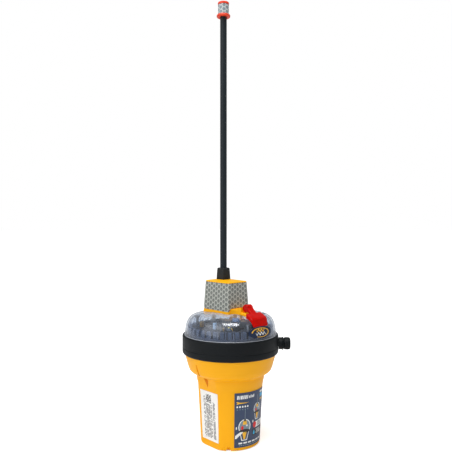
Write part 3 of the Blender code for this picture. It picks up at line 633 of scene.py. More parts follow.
def housing_outline():
    """Outside of the housing, from the base up to the rim."""
    foot = [(33.9, 0.0)] + bend((33.9, 0.0), (36.1, 0.0), (36.1, 2.2), 6) + [(36.1, 2.2)]
    waist = [(39.9, 71.0), (41.4, 78.0), (STEP_R, STEP_Z)]
    shoulder = bend((STEP_R, STEP_Z), (48.9, 86.6), (50.4, 89.4), 10) + [(50.4, 89.4), (51.9, 93.2)]
    flange = [(56.2, 108.6), (56.25, 110.5), (57.5, 110.7), (57.5, HOUSING_TOP.z)]
    return foot + waist + shoulder + flange


def flat_x(z):
    """Distance of the side flat from the middle plane; near the step it sweeps outwards."""
    over = max(0.0, z - FLAT_STRAIGHT_Z) / (STEP_Z - FLAT_STRAIGHT_Z)
    return FLAT_X + math.tan(FLAT_LEAN) * (z - FLAT_Z) + FLAT_FLARE * over ** 2


def smooth_step(value, low, high):
    t = min(1.0, max(0.0, (value - low) / (high - low)))
    return t * t * (3 - 2 * t)


def soft_min(a, b, width):
    """The smaller of two lengths, rounded where they meet."""
    h = max(width - abs(a - b), 0.0) / width
    return min(a, b) - h * h * width / 4


def housing_radius(r, z, turn, below_step):
    """How far the housing reaches in a direction at a height, with flats, pockets, slots and foot notch."""
    across = abs(math.cos(turn))
    reach = r
    if below_step and across > 0.3:
        reach = soft_min(reach, flat_x(z) / across, 0.9)
    y = reach * math.sin(turn)
    depth, slot_depth = 2.9, 2.1
    if across > 0.9 and below_step and z > POCKET_POINT:
        t = (z - POCKET_POINT) / (STEP_Z - POCKET_POINT)
        reach -= depth * t * max(0.0, 1 - abs(y) / (POCKET_HALF * t))
    if across > 0.9 and SLOT_LOW < z < SLOT_HIGH:
        slot_half = 1.45 - 0.75 * (z - SLOT_LOW) / (SLOT_HIGH - SLOT_LOW)
        ends = smooth_step(SLOT_HIGH - z, 0.0, 0.5) * smooth_step(z - SLOT_LOW, 0.0, 0.5)
        reach -= slot_depth * smooth_step(slot_half + 0.1 - abs(y), 0.0, 0.22) * ends
    notch_turn, notch_half, notch_top = math.radians(-90 - 46), 2.5, 2.8
    aside = abs(math.remainder(turn - notch_turn, 2 * math.pi)) * r
    if z < notch_top and aside < notch_half + 0.5:
        arch = notch_top * math.sqrt(max(0.0, 1 - (aside / (notch_half + 0.5)) ** 2))
        reach -= 3.0 * smooth_step(arch - z, 0.0, 0.5)
    return reach


def housing_turns():
    """Directions round the housing, closer together where the slots and the foot notch are."""
    turns = {round(1.25 * i, 2) % 360 for i in range(288)}
    for centre, half in ((0, 9), (180, 9), (224, 6)):
        turns |= {round(centre + 0.2 * i, 2) % 360 for i in range(-5 * half, 5 * half + 1)}
    return [math.radians(t) for t in sorted(turns)]


def housing():
    turns = housing_turns()

    def spacing(z):
        return 0.5 if 69 < z < 103 or z < 4 else 3.0

    rows = []
    for r, z in dense(fillet(housing_outline(), 0.8, 3), spacing):
        below = z <= STEP_Z + 0.01
        rows.append([(housing_radius(r, z, a, below), z) for a in turns])
        if abs(z - STEP_Z) < 0.02 and below:
            rows.append([(housing_radius(r, z, a, False), z + 0.04) for a in turns])
    rim_inner = [(53.0, HOUSING_TOP.z), (53.0, 108.0), (49.4, 93.6), (47.9, 90.6), (42.5, 87.2), (39.5, 84.9)]
    for r, z in fillet(rim_inner + [(38.9, 78.0), (33.7, 3.4)], 0.8, 2):
        row = []
        for a in turns:
            flat = (flat_x(z) - WALL - 0.4) / max(abs(math.cos(a)), 0.3)
            row.append((soft_min(r, flat, 0.9) if z < STEP_Z else r, z))
        rows.append(row)
    verts, faces = [], []
    for row in rows:
        verts += [(r * math.cos(a), r * math.sin(a), z) for (r, z), a in zip(row, turns)]
    count = len(turns)
    for row in range(len(rows) - 1):
        for i in range(count):
            j, low, high = (i + 1) % count, row * count, (row + 1) * count
            faces.append([low + i, low + j, high + j, high + i])
    for centre_z, ring_start in ((0.0, 0), (3.4, len(verts) - count)):
        verts.append((0.0, 0.0, centre_z))
        faces += [[len(verts) - 1, ring_start + i, ring_start + (i + 1) % count] for i in range(count)]
    piece("housing_shell", (verts, faces), "housing_yellow", replaces=["lower_housing"], sharp=30)


def contacts():
    stud = [(0, 4.1), (1.0, 4.1), (1.3, 4.6), (3.4, 3.8), (3.4, 2.9), (2.0, 2.9), (2.0, -3.5), (0, -3.5)]
    stud = lathe(fillet(stud, 0.3), 48)
    for name in ("water_contact_left", "water_contact_right"):
        low, high = mm_box(name)
        spot = at((low.x + high.x) / 2, 35.0, (low.z + high.z) / 2, Matrix.Rotation(-math.pi / 2, 4, "X"))
        piece(name + "_stud", moved(stud, spot), "steel", replaces=[name])

# ---------------------------------------------------------------- collar

def collar():
    low, high, r = COLLAR_LOW.z, COLLAR_HIGH.z, COLLAR_HIGH.x
    seam = 116.6
    outside = [(56.8, high), (r - 1.0, high), (r, high - 1.2), (r, seam + 0.45), (r - 0.4, seam + 0.1)]
    outside += [(r - 0.4, seam - 0.1), (r, seam - 0.45), (r, low + 1.6), (r - 1.1, low), (56.6, low)]
    inside = [(56.6, 110.2), (57.9, 110.2), (57.9, 129.7), (56.8, 129.7)]
    outline = fillet(outside + inside, 0.7, 4, closed=True)
    piece("clamp_collar", lathe(outline, 224, ring=True), "collar_black", replaces=["collar_ring"])
    turn = math.radians(45)
    spot = at(r * math.sin(turn), -r * math.cos(turn), 119.7,
              Matrix.Rotation(turn, 4, "Z") @ Matrix.Rotation(math.pi / 2, 4, "X"))
    neck = [(0, 0.3), (7.6, 0.3), (7.3, 1.0), (7.2, 4.2), (7.9, 4.6), (8.0, 5.4), (7.0, 6.0), (6.5, 6.3)]
    head = [(6.6, 6.8), (7.3, 7.4), (7.5, 8.4), (7.5, 12.2), (6.9, 14.0), (5.4, 14.7), (0, 14.7)]
    verts, faces = lathe(fillet(neck + head, 0.5, 3), 96)
    grooves = []
    for x, y, z in verts:
        turn_here = math.atan2(y, x)
        dip = 0.28 * smooth_step(math.cos(8 * turn_here), 0.55, 0.95) if 6.9 < z < 13.6 else 0.0
        keep = 1 - dip / max(math.hypot(x, y), 1.0)
        grooves.append((x * keep, y * keep, z))
    piece("tether_post", moved((grooves, faces), spot), "collar_black", replaces=["tether_stud"])


# ---------------------------------------------------------------- dome

ON_SPOT = at(0.0, -43.5, 154.7, Matrix.Rotation(math.atan2(4.7, 9.0), 4, "X"))

def dome_outline():
    """Outside of the dome, from the tower's hole outwards and down."""
    edge, low = (41.9, 155.4), (55.1, 141.8)
    crown = [(6.5, 158.4), (17.0, 158.0), (26.0, 157.2), (35.0, 156.3), edge]
    wall = [low, (55.8, 136.0), (56.4, 131.5), (56.4, 130.0)]
    return crown + bend(edge, (52.2, 154.6), low, 14) + wall


def dome():
    outline = dome_outline()
    inner = inset(outline, WALL)
    inner[0] = (6.5, inner[0][1])
    flange = [(56.4, 129.6), (57.4, 129.4), (57.5, 126.4), (54.0, 126.2)]
    boss = [(0, 153.6), (4.8, 153.6), (3.1, DECK_Z + 0.6), (0, DECK_Z + 0.6)]
    bore = [(0, 165), (3.3, 165), (3.3, 153.0), (1.9, 152.6), (1.9, 137.0), (0, 137.0)]
    bosses, bores = [], []
    for i in range(1, 5):
        spot = at(*middle(f"dome_screw_{i}"), 0)
        bosses.append(moved(lathe(fillet(boss, 0.4), 48), spot))
        bores.append(moved(lathe(fillet(bore, 0.2), 48), spot))
    spot = at(*middle("test_button_bezel"), 0)
    bosses.append(moved(lathe([(0, 153.9), (6.0, 153.9), (5.2, 150.6), (0, 150.6)], 64), spot))
    well = [(0, 165), (4.5, 165), (4.5, 152.6), (3.0, 152.6), (3.0, 140.0), (0, 140.0)]
    bores.append(moved(lathe(well, 64), spot))
    bores.append(moved(lathe([(0, 8), (3.9, 8), (3.9, -12), (0, -12)], 64), ON_SPOT))
    shell = lathe(outline + flange + inner[::-1], 192, ring=True)
    piece("dome_shell", carved(shell, bosses, bores), "clear_lens", replaces=["dome_lens"], sharp=40)


def lens_ribs():
    """Upright prism ribs on the inside of the dome, one in each gap of the light ring."""
    inner = inset(dome_outline(), WALL + 0.25)
    low, high, steps = 133.2, 142.6, 8
    parts = []
    for k in range(TEETH):
        turn = 2 * math.pi * (k + 1 / 6) / TEETH
        rings = []
        for i in range(steps + 1):
            z = low + (high - low) * i / steps
            r = radius_at(inner, z)
            half = 0.8 * (1 - 0.6 * (i / steps) ** 2)
            section = [(r, -half), (r - 0.9, -0.7 * half), (r - 1.5, 0), (r - 0.9, 0.7 * half), (r, half)]
            c, s = math.cos(turn), math.sin(turn)
            rings.append([(a * c - b * s, a * s + b * c, z) for a, b in section])
        parts.append(loft(rings))
    piece("lens_ribs", joined(parts), "clear_ribs", "clear_lens")
    # The lens rim is the dome's real flange lip; its pale colour is a painted highlight for the bright line of
    # light along it
    rim_r, rim_low, rim_high = COLLAR_HIGH.x - 2.2, COLLAR_HIGH.z - 1.4, COLLAR_HIGH.z + 0.35
    rim = [(rim_r - 0.55, rim_low), (rim_r - 0.05, rim_low),
           (rim_r - 0.05, rim_high), (rim_r - 0.55, rim_high)]
    piece("lens_rim", lathe(fillet(rim, 0.25, 4, closed=True), 192, ring=True), "rim_painted_highlight", "clear_lens")


def light_ring():
    """Dark reflector ring: round-topped teeth on a band."""
    inner, outer, notch = 47.2, RING_HIGH.x, 133.0
    band = [(inner, RING_LOW.z), (outer, RING_LOW.z), (outer, notch), (inner, notch)]
    parts = [lathe(fillet(band, 0.4, 3, closed=True), 216, ring=True)]
    half = math.radians(360 / TEETH / 3) - 0.008
    for k in range(TEETH):
        middle_turn = 2 * math.pi * (k + 2 / 3) / TEETH
        face = [(-half, notch - 1.0), (half, notch - 1.0), (half, RING_HIGH.z), (-half, RING_HIGH.z)]
        scaled_face = fillet([(a * outer, z) for a, z in face], 1.3, 4, closed=True)
        rings = []
        for r, shrink in ((inner, 0.92), (inner + 0.5, 1.0), (outer - 0.6, 1.0), (outer, 0.9)):
            ring = []
            for s, z in scaled_face:
                a = middle_turn + s / outer * shrink
                height = notch + (z - notch) * (0.5 + shrink / 2)
                ring.append((r * math.cos(a), r * math.sin(a), height))
            rings.append(ring)
        parts.append(loft(rings))
    piece("reflector_ring", joined(parts), "ring_blue_grey", replaces=["light_ring"])


def dome_fittings():
    head = [(0, 154.0), (1.3, 154.0), (1.35, 154.7), (2.3, 154.8), (3.0, 154.2), (3.0, 153.3)]
    head += [(1.5, 153.3), (1.5, 138.6), (0, 138.6)]
    for i in range(1, 5):
        screw = moved(lathe(fillet(head, 0.25, 3), 48), at(*middle(f"dome_screw_{i}"), 0))
        piece(f"dome_screw_head_{i}", screw, "dark_plastic", replaces=[f"dome_screw_{i}"])
    spot = at(*middle("test_button_bezel"), 0)
    bezel = [(3.0, 156.5), (3.9, 156.5), (4.2, 156.0), (4.2, 152.9), (3.0, 152.9)]
    bezel = lathe(fillet(bezel, 0.3, 4, closed=True), 72, ring=True)
    piece("test_bezel", moved(bezel, spot), "bezel_clear", "pale_blue", replaces=["test_button_bezel"])
    cap = fillet([(0, 155.6), (1.6, 155.7), (2.0, 156.0), (2.6, 155.5), (2.6, 148.1), (0, 148.1)], 0.3)
    piece("test_cap", moved(lathe(cap, 64), spot), "button_grey", body="test_button",
          replaces=["test_button"])
    cap = fillet([(0, 0.5), (2.2, 0.7), (2.8, 1.0), (3.6, 0.5), (3.6, -6.0), (0, -6.0)], 0.4)
    piece("on_cap", moved(lathe(cap, 64), ON_SPOT), "button_grey", body="on_button", replaces=["on_button"])

# ---------------------------------------------------------------- tower, arm and sheet

ON_HINGE = at(0, HINGE_Y, HINGE_Z, Matrix.Rotation(math.pi / 2, 4, "Y"))
LUG_R, LUG_X = 3.8, 1.9
KNUCKLE_R, KNUCKLE_X = 4.2, 4.6


def tower_half(z, grow=0.0):
    t = (z - 161.0) / (TOWER_TOP - 161.0)
    return 18.3 - 2.4 * t + grow, 23.4 - 1.6 * t + grow


def tower_ring(z, grow=0.0, corner=3.2):
    half_x, half_y = tower_half(z, grow)
    return rounded_rectangle(half_x, half_y, max(0.6, corner + grow), z, (0, TOWER_Y), 10)


def dome_keep_out(clearance):
    grown = inset(dome_outline(), -clearance)
    return lathe([(0, grown[0][1])] + grown + [(80, 130), (80, 100), (0, 100)], 128)


def across_x(side, half_x, edge):
    """A solid across X from its side outline (y, z), its rim edges softened."""
    rings = []
    for x, shrink in ((-half_x, edge), (edge - half_x, 0.0), (half_x - edge, 0.0), (half_x, edge)):
        rings.append([(x, y, z) for y, z in shrunk(side, shrink)])
    return loft(rings)


def shrunk(outline, distance):
    """A closed outline with each corner moved towards the inside."""
    points = [Vector(p) for p in outline]
    area = sum(a.x * b.y - b.x * a.y for a, b in zip(points, points[1:] + points[:1]))
    side = distance if area > 0 else -distance
    inner = []
    for i, point in enumerate(points):
        before = (point - points[i - 1]).normalized()
        after = (points[(i + 1) % len(points)] - point).normalized()
        normal = Vector((-before.y - after.y, before.x + after.x))
        scale = max(0.5, 1 + before.dot(after))
        inner.append(tuple(point + normal * side / scale))
    return inner


def arm_ring(y, half, top, edge=1.4):
    """Section of the arm that carries the hinge: flat sides, rounded top edges."""
    outline = fillet([(-half, 150), (-half, top), (half, top), (half, 150)], edge, 6)
    return [(x, y, z) for x, z in outline]


def tower():
    rings = [tower_ring(z) for z in (150.0, SHEET_LOW.z - 0.2)]
    rings += [tower_ring(z, -0.6) for z in (SHEET_LOW.z - 0.1, SHEET_HIGH.z + 0.1)]
    rings += [tower_ring(z, 0.05) for z in (SHEET_HIGH.z + 0.2, TOWER_TOP - 1.9)]
    for i in range(1, 7):
        a = math.radians(15 * i)
        rings.append(tower_ring(TOWER_TOP - 1.9 + 0.9 * math.sin(a), -1.5 * (1 - math.cos(a))))
    rings.append(tower_ring(TOWER_TOP + 0.25, -8.5))
    stations = [(-13.0, 14.2, 163.6), (-16.0, 13.2, 163.8), (-17.2, 11.2, 164.0), (-18.6, 9.2, 164.3),
                (-20.6, 7.9, 164.8), (-23.0, 7.2, 165.4), (-26.3, 6.9, 166.3)]
    arm = loft([arm_ring(*s) for s in stations])
    toe = [(-25.0, 150.0), (-36.0, 150.0), (-36.0, 158.0), (-33.5, 160.0), (-25.0, 160.6)]
    turns = [math.radians(180 * i / 24) for i in range(25)]
    lug = [(HINGE_Y + LUG_R * math.cos(a), HINGE_Z + LUG_R * math.sin(a)) for a in turns]
    lug += [(-34.0, 158.0), (-25.0, 158.0), (-25.0, 163.0)]
    joins = [arm, across_x(toe, 6.8, 0.7), across_x(lug, LUG_X, 0.1)]
    hollow = loft([tower_ring(140, -2.6), tower_ring(193.0, -2.6)])
    pin = moved(rod(1.5, -20, 20, 32), ON_HINGE)
    bore = moved(rod(4.6, 170, 210, 48), at(0, WHIP_Y, 0))
    mesh = carved(loft(rings), joins, [dome_keep_out(0.25), hollow, pin, bore])
    piece("antenna_tower_body", mesh, "housing_yellow", replaces=["antenna_tower"], sharp=32)

def sheet_low_edge(x, y):
    """The sheet's lower edge: raised over the arm's root and cut away at the rear corners."""
    low = SHEET_LOW.z
    if y < TOWER_Y - 18.5:
        low += 3.6 * smooth_step(16.6 - abs(x), 0.0, 3.0)
    rear = 3.8 * smooth_step(y, TOWER_Y + 19.4, TOWER_Y + 22.2) * smooth_step(abs(x), 9.5, 15.0)
    return low + rear

def sheet():
    """Reflective film wrapped round the tower, with its surface mapped in millimetres."""
    base = [(x, y) for x, y, z in tower_ring(SHEET_LOW.z, 0.1)]
    ring = []
    for (x0, y0), (x1, y1) in zip(base, base[1:] + base[:1]):
        steps = max(1, int(math.hypot(x1 - x0, y1 - y0) / 1.2))
        ring += [(x0 + (x1 - x0) * i / steps, y0 + (y1 - y0) * i / steps) for i in range(steps)]
    ring.append(ring[0])
    distance = [0.0]
    for (x0, y0), (x1, y1) in zip(ring, ring[1:]):
        distance.append(distance[-1] + math.hypot(x1 - x0, y1 - y0))
    repeat, levels = 2 * SHEET_CELL, 24
    stretch = round(distance[-1] / repeat) * repeat / distance[-1]
    half_low = tower_half(SHEET_LOW.z, 0.1)
    grids, uvs = [], []
    for grow in (0.1, -0.3):
        grid = []
        for k in range(levels + 1):
            row = []
            for (x, y), along in zip(ring, distance):
                low = sheet_low_edge(x, y)
                z = low + (SHEET_HIGH.z - low) * k / levels
                half = tower_half(z, grow)
                row.append((x * half[0] / half_low[0], TOWER_Y + (y - TOWER_Y) * half[1] / half_low[1], z))
                uvs.append((along * stretch, z))
            grid.append(row)
        grids.append(grid)
    film = (*layered(*grids, wrapped=True), uvs)
    piece("tower_film", film, "reflective", replaces=["tower_reflective_sheet"])

# ---------------------------------------------------------------- red cover

def cover_block(half_x, inward, edge, bottom):
    """The cover's wide part across X, its front face following the dome and its edges rounded."""
    rings = []
    stations = 20
    for i in range(stations + 1):
        x = half_x * math.cos(math.pi * (1 - i / stations))
        drop = edge - math.sqrt(max(0.0, edge ** 2 - max(0.0, abs(x) - half_x + edge) ** 2))
        shift = math.sqrt(53.0 ** 2 - x * x) - math.sqrt(53.0 ** 2 - 12.3 ** 2)
        side = [(-40.0, 161.4), (-49.0 - shift, 157.0), (-50.4 - shift, 155.6), (-52.5 - shift, 146.5),
                (-51.2 - shift, bottom), (-40.0, bottom)]
        outline = fillet(shrunk(side, inward + drop), 0.7, 4, closed=True)
        rings.append([(x, y, z) for y, z in outline])
    return loft(rings)


def red_cover():
    web = [(-34.2, 167.9), (-36.0, 166.2), (-38.2, 163.9), (-40.8, 161.7), (-44.0, 159.6)]
    web += [(-42.2, 158.4), (-39.5, 159.5), (-35.5, 161.0), (-32.5, 162.2), (-31.0, 165.0)]
    barrel = fillet(rod_outline(KNUCKLE_R + 0.3, -KNUCKLE_X, KNUCKLE_X), 0.8, 5)
    joins = [across_x(web, KNUCKLE_X, 0.8), moved(lathe(barrel, 72), ON_HINGE)]
    gap_r, gap_x = LUG_R + 0.15, LUG_X + 0.25
    turns = [math.radians(-112 + 202 * i / 24) for i in range(25)]
    free = [(0.0, 0.0)] + [(9 * math.cos(a), 9 * math.sin(a)) for a in turns]
    free = [(HINGE_Y + y, HINGE_Z + z) for y, z in free]
    reach = PIN_HIGH.x - 0.45
    cuts = [cover_block(10.8, 1.5, 0.1, 136.0), dome_keep_out(0.35),
            moved(rod(gap_r, -gap_x, gap_x, 64), ON_HINGE), across_x(free, gap_x, 0.01),
            moved(rod(1.35, -reach, reach, 32), ON_HINGE)]
    mesh = carved(cover_block(12.3, 0.0, 0.9, 139.0), joins, cuts)
    piece("switch_cover", mesh, "cover_red", body="cover", replaces=["red_cover"], sharp=32)
    reach -= 0.1
    pin = lathe(fillet(rod_outline(1.2, -reach, reach), 0.25), 40)
    piece("cover_pin", moved(pin, ON_HINGE), "steel", replaces=["hinge_pin"])


# ---------------------------------------------------------------- whip

def boot():
    half_low, half_high = 6.85, 6.2
    sections = [(half_low - 0.25, 2.4, BOOT_LOW.z), (half_low, 2.4, BOOT_LOW.z + 0.35),
                (half_high, 2.4, BOOT_HIGH.z - 1.3)]
    sections += [(half_high - shrink, 2.2, BOOT_HIGH.z - drop)
                 for shrink, drop in ((0.15, 0.6), (0.5, 0.2), (1.0, 0.0), (2.2, 0.0))]
    body = loft([rounded_rectangle(half, half, corner, z, (0, WHIP_Y), 8) for half, corner, z in sections])
    crown = moved(lathe(fillet([(0, 0.9), (5.2, 0.9), (5.4, -1.0), (0, -1.0)], 0.4), 64),
                  at(0, WHIP_Y, BOOT_HIGH.z - 1.0))
    bore = moved(rod(WHIP_R + 0.3, -30, 30, 64), at(0, WHIP_Y, BOOT_LOW.z))
    piece("whip_boot", carved(body, [crown], [bore]), "boot_black", replaces=["antenna_boot"])

def whip():
    """One smooth sheath, in lengths that each reach across one joint."""
    pivots = [joint["pos_m"][2] / MM for joint in frame["joints"] if joint["name"].startswith("whip_flex")]
    length = pivots[1] - pivots[0]
    root_z = TOWER_TOP - 8.0
    for i, pivot in enumerate(pivots):
        low = pivot - length / 2 if i else root_z
        high = pivot + length / 2 if i < len(pivots) - 1 else CAP_LOW.z + 1.2
        steps = max(2, int((high - low) / 1.6))
        wall = [(WHIP_R, low + (high - low) * k / steps) for k in range(steps + 1)]
        outline = [(0, low)] + wall + [(0, high)]
        sheath = moved(lathe(outline, 40), at(0, WHIP_Y, 0))
        nodes = [f"whip_link_{i + 1}"] + (["antenna_base"] if i == 0 else [])
        sheath = piece(f"whip_sheath_{i + 1}", sheath, "whip_black", body=None, replaces=nodes)
        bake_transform(sheath)


def tip():
    top, low = CAP_HIGH.z, CAP_LOW.z
    cap = [(0, top - 0.5), (5.6, top - 0.5), (6.2, top), (7.0, top - 0.6), (7.0, 540.6), (6.0, 540.3)]
    cap += [(6.0, 527.6), (8.1, 527.6), (8.5, 526.9), (8.5, 525.4), (8.0, low)]
    cap += [(4.3, low), (4.3, low + 1.2), (0, low + 1.2)]
    part = moved(lathe(fillet(cap, 0.5, 4), 96), at(0, WHIP_Y, 0))
    piece("tip_light_cap", part, "tip_orange", body="whip_8", replaces=["tip_cap"])
    levels = [BAND_LOW.z + (BAND_HIGH.z - BAND_LOW.z) * k / 6 for k in range(7)]
    turns = [2 * math.pi * i / 96 for i in range(97)]
    outer, inner, repeat = 6.7, 6.3, 2 * BAND_CELL
    around = 2 * math.pi * outer
    stretch = round(around / repeat) * repeat / around
    grids = [[[(r * math.sin(a), WHIP_Y - r * math.cos(a), z) for a in turns] for z in levels]
             for r in (outer, inner)]
    uvs = [(a * outer * stretch, z) for z in levels for a in turns] * 2
    piece("tip_film", (*layered(*grids, wrapped=True), uvs), "reflective_tip", "reflective", body="whip_8",
          replaces=["tip_reflective_band"])

# ---------------------------------------------------------------- printed surfaces

def oval(centre, half, middle_z, half_z, steps=12):
    rows = []
    for i in range(steps + 1):
        a = math.pi * (i / steps - 0.5)
        reach = half * math.cos(a)
        rows.append((middle_z + half_z * math.sin(a), centre - reach, centre + reach))
    return rows


def bar(left, right, low, high, slant=0.0):
    return [(low, left, right), (high, left + slant, right + slant)]


class Print:
    """Thin printed shapes on a curved wall; across is measured in millimetres round the wall."""

    def __init__(self, radius_of, lift):
        self.radius_of = radius_of
        self.lift = lift
        self.inks = {}

    def shape(self, ink, rows, layer=0):
        grid = []
        columns = 12
        for z, left, right in rows:
            right = max(right, left + 0.02)
            r = self.radius_of(z) + self.lift + 0.05 * layer
            turns = [(left + (right - left) * i / columns) / self.radius_of(z) for i in range(columns + 1)]
            grid.append([from_front(r, a, z) for a in turns])
        self.inks.setdefault(ink, []).append(sheet_solid(grid, 0.04))

    def finish(self, name):
        for ink, parts in self.inks.items():
            piece(f"{name}_{ink}", joined(parts), ink, "label_white")

def eased(t):
    """Steps from 0 to 1 that are shorter near both ends."""
    return (1 - math.cos(math.pi * t)) / 2


def corner_trim(radius, from_end):
    """How far a rounded corner draws an edge in, at a distance from the end."""
    short = max(0.0, radius - from_end)
    return radius - math.sqrt(max(0.0, radius ** 2 - short ** 2))


def front_wall(z):
    return radius_at(housing_outline(), z)


def tapered(middle, low_half, high_half, low, high):
    """A shape whose half width runs evenly from its foot to its top."""
    return [(low, middle - low_half, middle + low_half), (high, middle - high_half, middle + high_half)]


# A small generic drawing of a beacon, from its foot at (0, 0): ink, layer, rows
FIGURE = [
    ("label_white", 0, tapered(0, 2.9, 5.0, 0, 9.0)),
    ("label_white", 0, oval(0, 6.3, 13.2, 7.0, 16)),
    ("label_navy", 1, tapered(0, 2.2, 4.3, 0.8, 8.6)),
    ("print_yellow", 2, tapered(0, 0.9, 2.2, 1.4, 8.0)),
    ("print_grey", 1, oval(0, 5.5, 13.2, 6.2, 16)),
    ("print_black", 2, oval(0, 5.5, 9.0, 1.9)),
    ("print_yellow", 2, tapered(0, 2.2, 1.5, 15.0, 18.8)),
    ("print_black", 3, oval(0, 1.0, 19.2, 1.3)),
    ("print_red", 3, oval(-2.4, 1.3, 12.2, 1.9)),
    ("label_white", 3, oval(2.2, 0.8, 14.0, 0.9)),
]


def beacon_figure(art, x, foot, size):
    for ink, layer, rows in FIGURE:
        placed = [(foot + size * z, x + size * left, x + size * right) for z, left, right in rows]
        art.shape(ink, placed, layer)
    art.shape("print_grey", bar(x - 0.25, x + 0.25, foot + 20 * size, foot + 30 * size), 1)


def front_label():
    half = math.radians(35.5)
    grid = []
    for i in range(25):
        z = LABEL_LOW.z + (LABEL_HIGH.z - LABEL_LOW.z) * eased(i / 24)
        r = front_wall(z) + 0.08
        reach = half - corner_trim(0.6, min(z - LABEL_LOW.z, LABEL_HIGH.z - z)) / r
        turns = [reach * (j / 24 - 1) for j in range(49)]
        grid.append([from_front(r, a, z) for a in turns])
    piece("front_label_film", sheet_solid(grid, 0.3), "label_navy", replaces=["front_label"])
    white, yellow, grey, black, red, blue = (
        "label_white", "print_yellow", "print_grey", "print_black", "print_red", "print_blue")
    art = Print(front_wall, 0.40)
    x = -21.6
    for width in (2.0, 1.1, 2.2, 1.6, 2.0, 1.2):
        art.shape(white, bar(x, x + width, 61.4, 65.8, 0.3))
        x += width + 0.75
    for i in range(4):
        art.shape(white, bar(x + 0.8 + 2.1 * i, x + 2.1 + 2.1 * i, 61.9, 64.6 + 0.8 * (i % 2), 0.2))
    swoosh = [(55.6, -21.8, -20.4), (56.4, -21.4, -10.5), (57.2, -20.6, -5.6), (57.6, -20.2, -14.0)]
    art.shape(yellow, swoosh)
    art.shape(yellow, [(57.5, -21.8, -17.0), (58.8, -21.8, -20.6)])
    for i in range(5):
        art.shape(white, oval(-20.8 + 3.3 * i, 1.05, 52.6, 1.15))
        art.shape(grey, bar(-21.3 + 3.3 * i, -20.0 + 3.3 * i, 48.8, 49.8))
    beacon_figure(art, -10.6, 12.0, 1.26)
    beacon_figure(art, 8.2, 33.8, 0.98)
    lever = [(15.0, -22.2, -20.4), (18.6, -21.8, -16.6), (21.0, -18.6, -13.4), (22.6, -16.0, -12.4)]
    art.shape(white, lever, 4)
    art.shape(white, bar(-21.4, -20.2, 26.0, 29.0))
    art.shape(white, bar(0.4, 1.8, 31.2, 34.0))
    art.shape(white, bar(5.8, 22.0, 24.4, 31.4))
    art.shape(red, oval(4.4, 2.9, 27.9, 3.6), 1)
    for i in range(4):
        art.shape(black, bar(9.6, 19.6 - 1.3 * i, 25.8 + 1.35 * i, 26.4 + 1.35 * i), 1)
    art.shape(black, bar(0.8, 22.0, 15.4, 23.2))
    art.shape(blue, [(16.6, 2.4, 4.6), (18.0, 1.8, 5.2), (19.6, 2.3, 4.7), (21.8, 3.3, 3.7)], 1)
    for i in range(4):
        art.shape(white, bar(7.4, 19.6 - 1.1 * i, 16.8 + 1.5 * i, 17.4 + 1.5 * i), 1)
    for i in range(6):
        art.shape(white, bar(-17.6 + 6.2 * i, -12.9 + 6.2 * i, 8.2, 10.0))
    for i in range(14):
        art.shape(grey, bar(-17.0 + 2.5 * i, -15.2 + 2.5 * i, 5.9, 6.8))
    art.shape(white, bar(13.4, 21.8, 64.4, 66.6))
    art.shape(blue, bar(14.0, 20.8, 59.4, 63.4))
    art.shape(yellow, bar(14.0, 20.2, 55.8, 57.2, 0.8))
    art.finish("front_print")


def side_label():
    """White film on the left flat, mapped in millimetres from its lower front corner."""
    low_z, high_z = SIDE_LOW.z, SIDE_HIGH.z
    levels, columns = 30, 16
    grid, uvs = [], []
    for k in range(levels + 1):
        z = low_z + (high_z - low_z) * eased(k / levels)
        spread = 1.6 * k / levels
        front, back = -15.2 - spread, 13.4 + spread
        trim = corner_trim(0.5, min(z - low_z, high_z - z))
        across = [back - trim + (front - back + 2 * trim) * i / columns for i in range(columns + 1)]
        grid.append([(-flat_x(z) - 0.08, y, z) for y in across])
        uvs += [(back - y, z - low_z) for y in across]
    film = sheet_solid(grid, 0.34, lambda point: (-1, 0, 0))
    piece("side_label_film", (*film, uvs * 2), "side_print", "label_white", replaces=["side_label"])


def badge():
    """Oval plate on the dome with an open gold ring and two plain waves."""
    outline = dome_outline()

    def wall(z):
        return radius_at(outline, z)

    def on_wall(across, z, lift):
        return from_front(wall(z) + lift, across / wrap, z)

    middle_z, half_z = (BADGE_LOW.z + BADGE_HIGH.z) / 2 + 1.5, (BADGE_HIGH.z - BADGE_LOW.z) / 2 - 0.4
    half, aside, wrap = 17.4, -2.0, 54.0
    grid = []
    for z, left, right in oval(0.0, half, middle_z, half_z, 32):
        width = max(right, left + 0.02) - left
        grid.append([on_wall(aside + left + width * j / 36, z, 0.2) for j in range(37)])
    piece("badge_plate", sheet_solid(grid, 0.65), "badge_navy", "label_navy", replaces=["front_badge"])
    art = Print(wall, 0.9)
    turns = [math.radians(-118 + 296 * i / 72) for i in range(73)]
    centre = aside - 1.0
    ring = []
    for scale in (0.66, 0.735):
        reach, rise = half * scale, half_z * 1.05 * scale
        ring.append([on_wall(centre + reach * math.cos(a), middle_z + rise * math.sin(a), 0.9) for a in turns])
    art.inks["print_yellow"] = [sheet_solid(ring, 0.05)]
    for level, ink, reach, phase in ((2.5, "print_yellow", 6.5, 0.0), (-1.2, "label_white", 7.6, 0.8)):
        grid = []
        for side in (-0.5, 0.5):
            row = []
            for along in (-reach + 2 * reach * j / 40 for j in range(41)):
                height = level + 1.3 * math.sin(1.5 * along + phase) + side * (1.5 - (along / reach) ** 2)
                row.append(on_wall(centre + along, middle_z + height, 0.9))
            grid.append(row)
        art.inks.setdefault(ink, []).append(sheet_solid(grid, 0.05))
    art.finish("badge_print")


# ---------------------------------------------------------------- under the dome

def wire_ring(centre, side, radius):
    """A round section of a wire, across a level direction."""
    turns = [2 * math.pi * n / 10 for n in range(10)]
    return [tuple(centre + (side * math.cos(b) + UP * math.sin(b)) * radius) for b in turns]


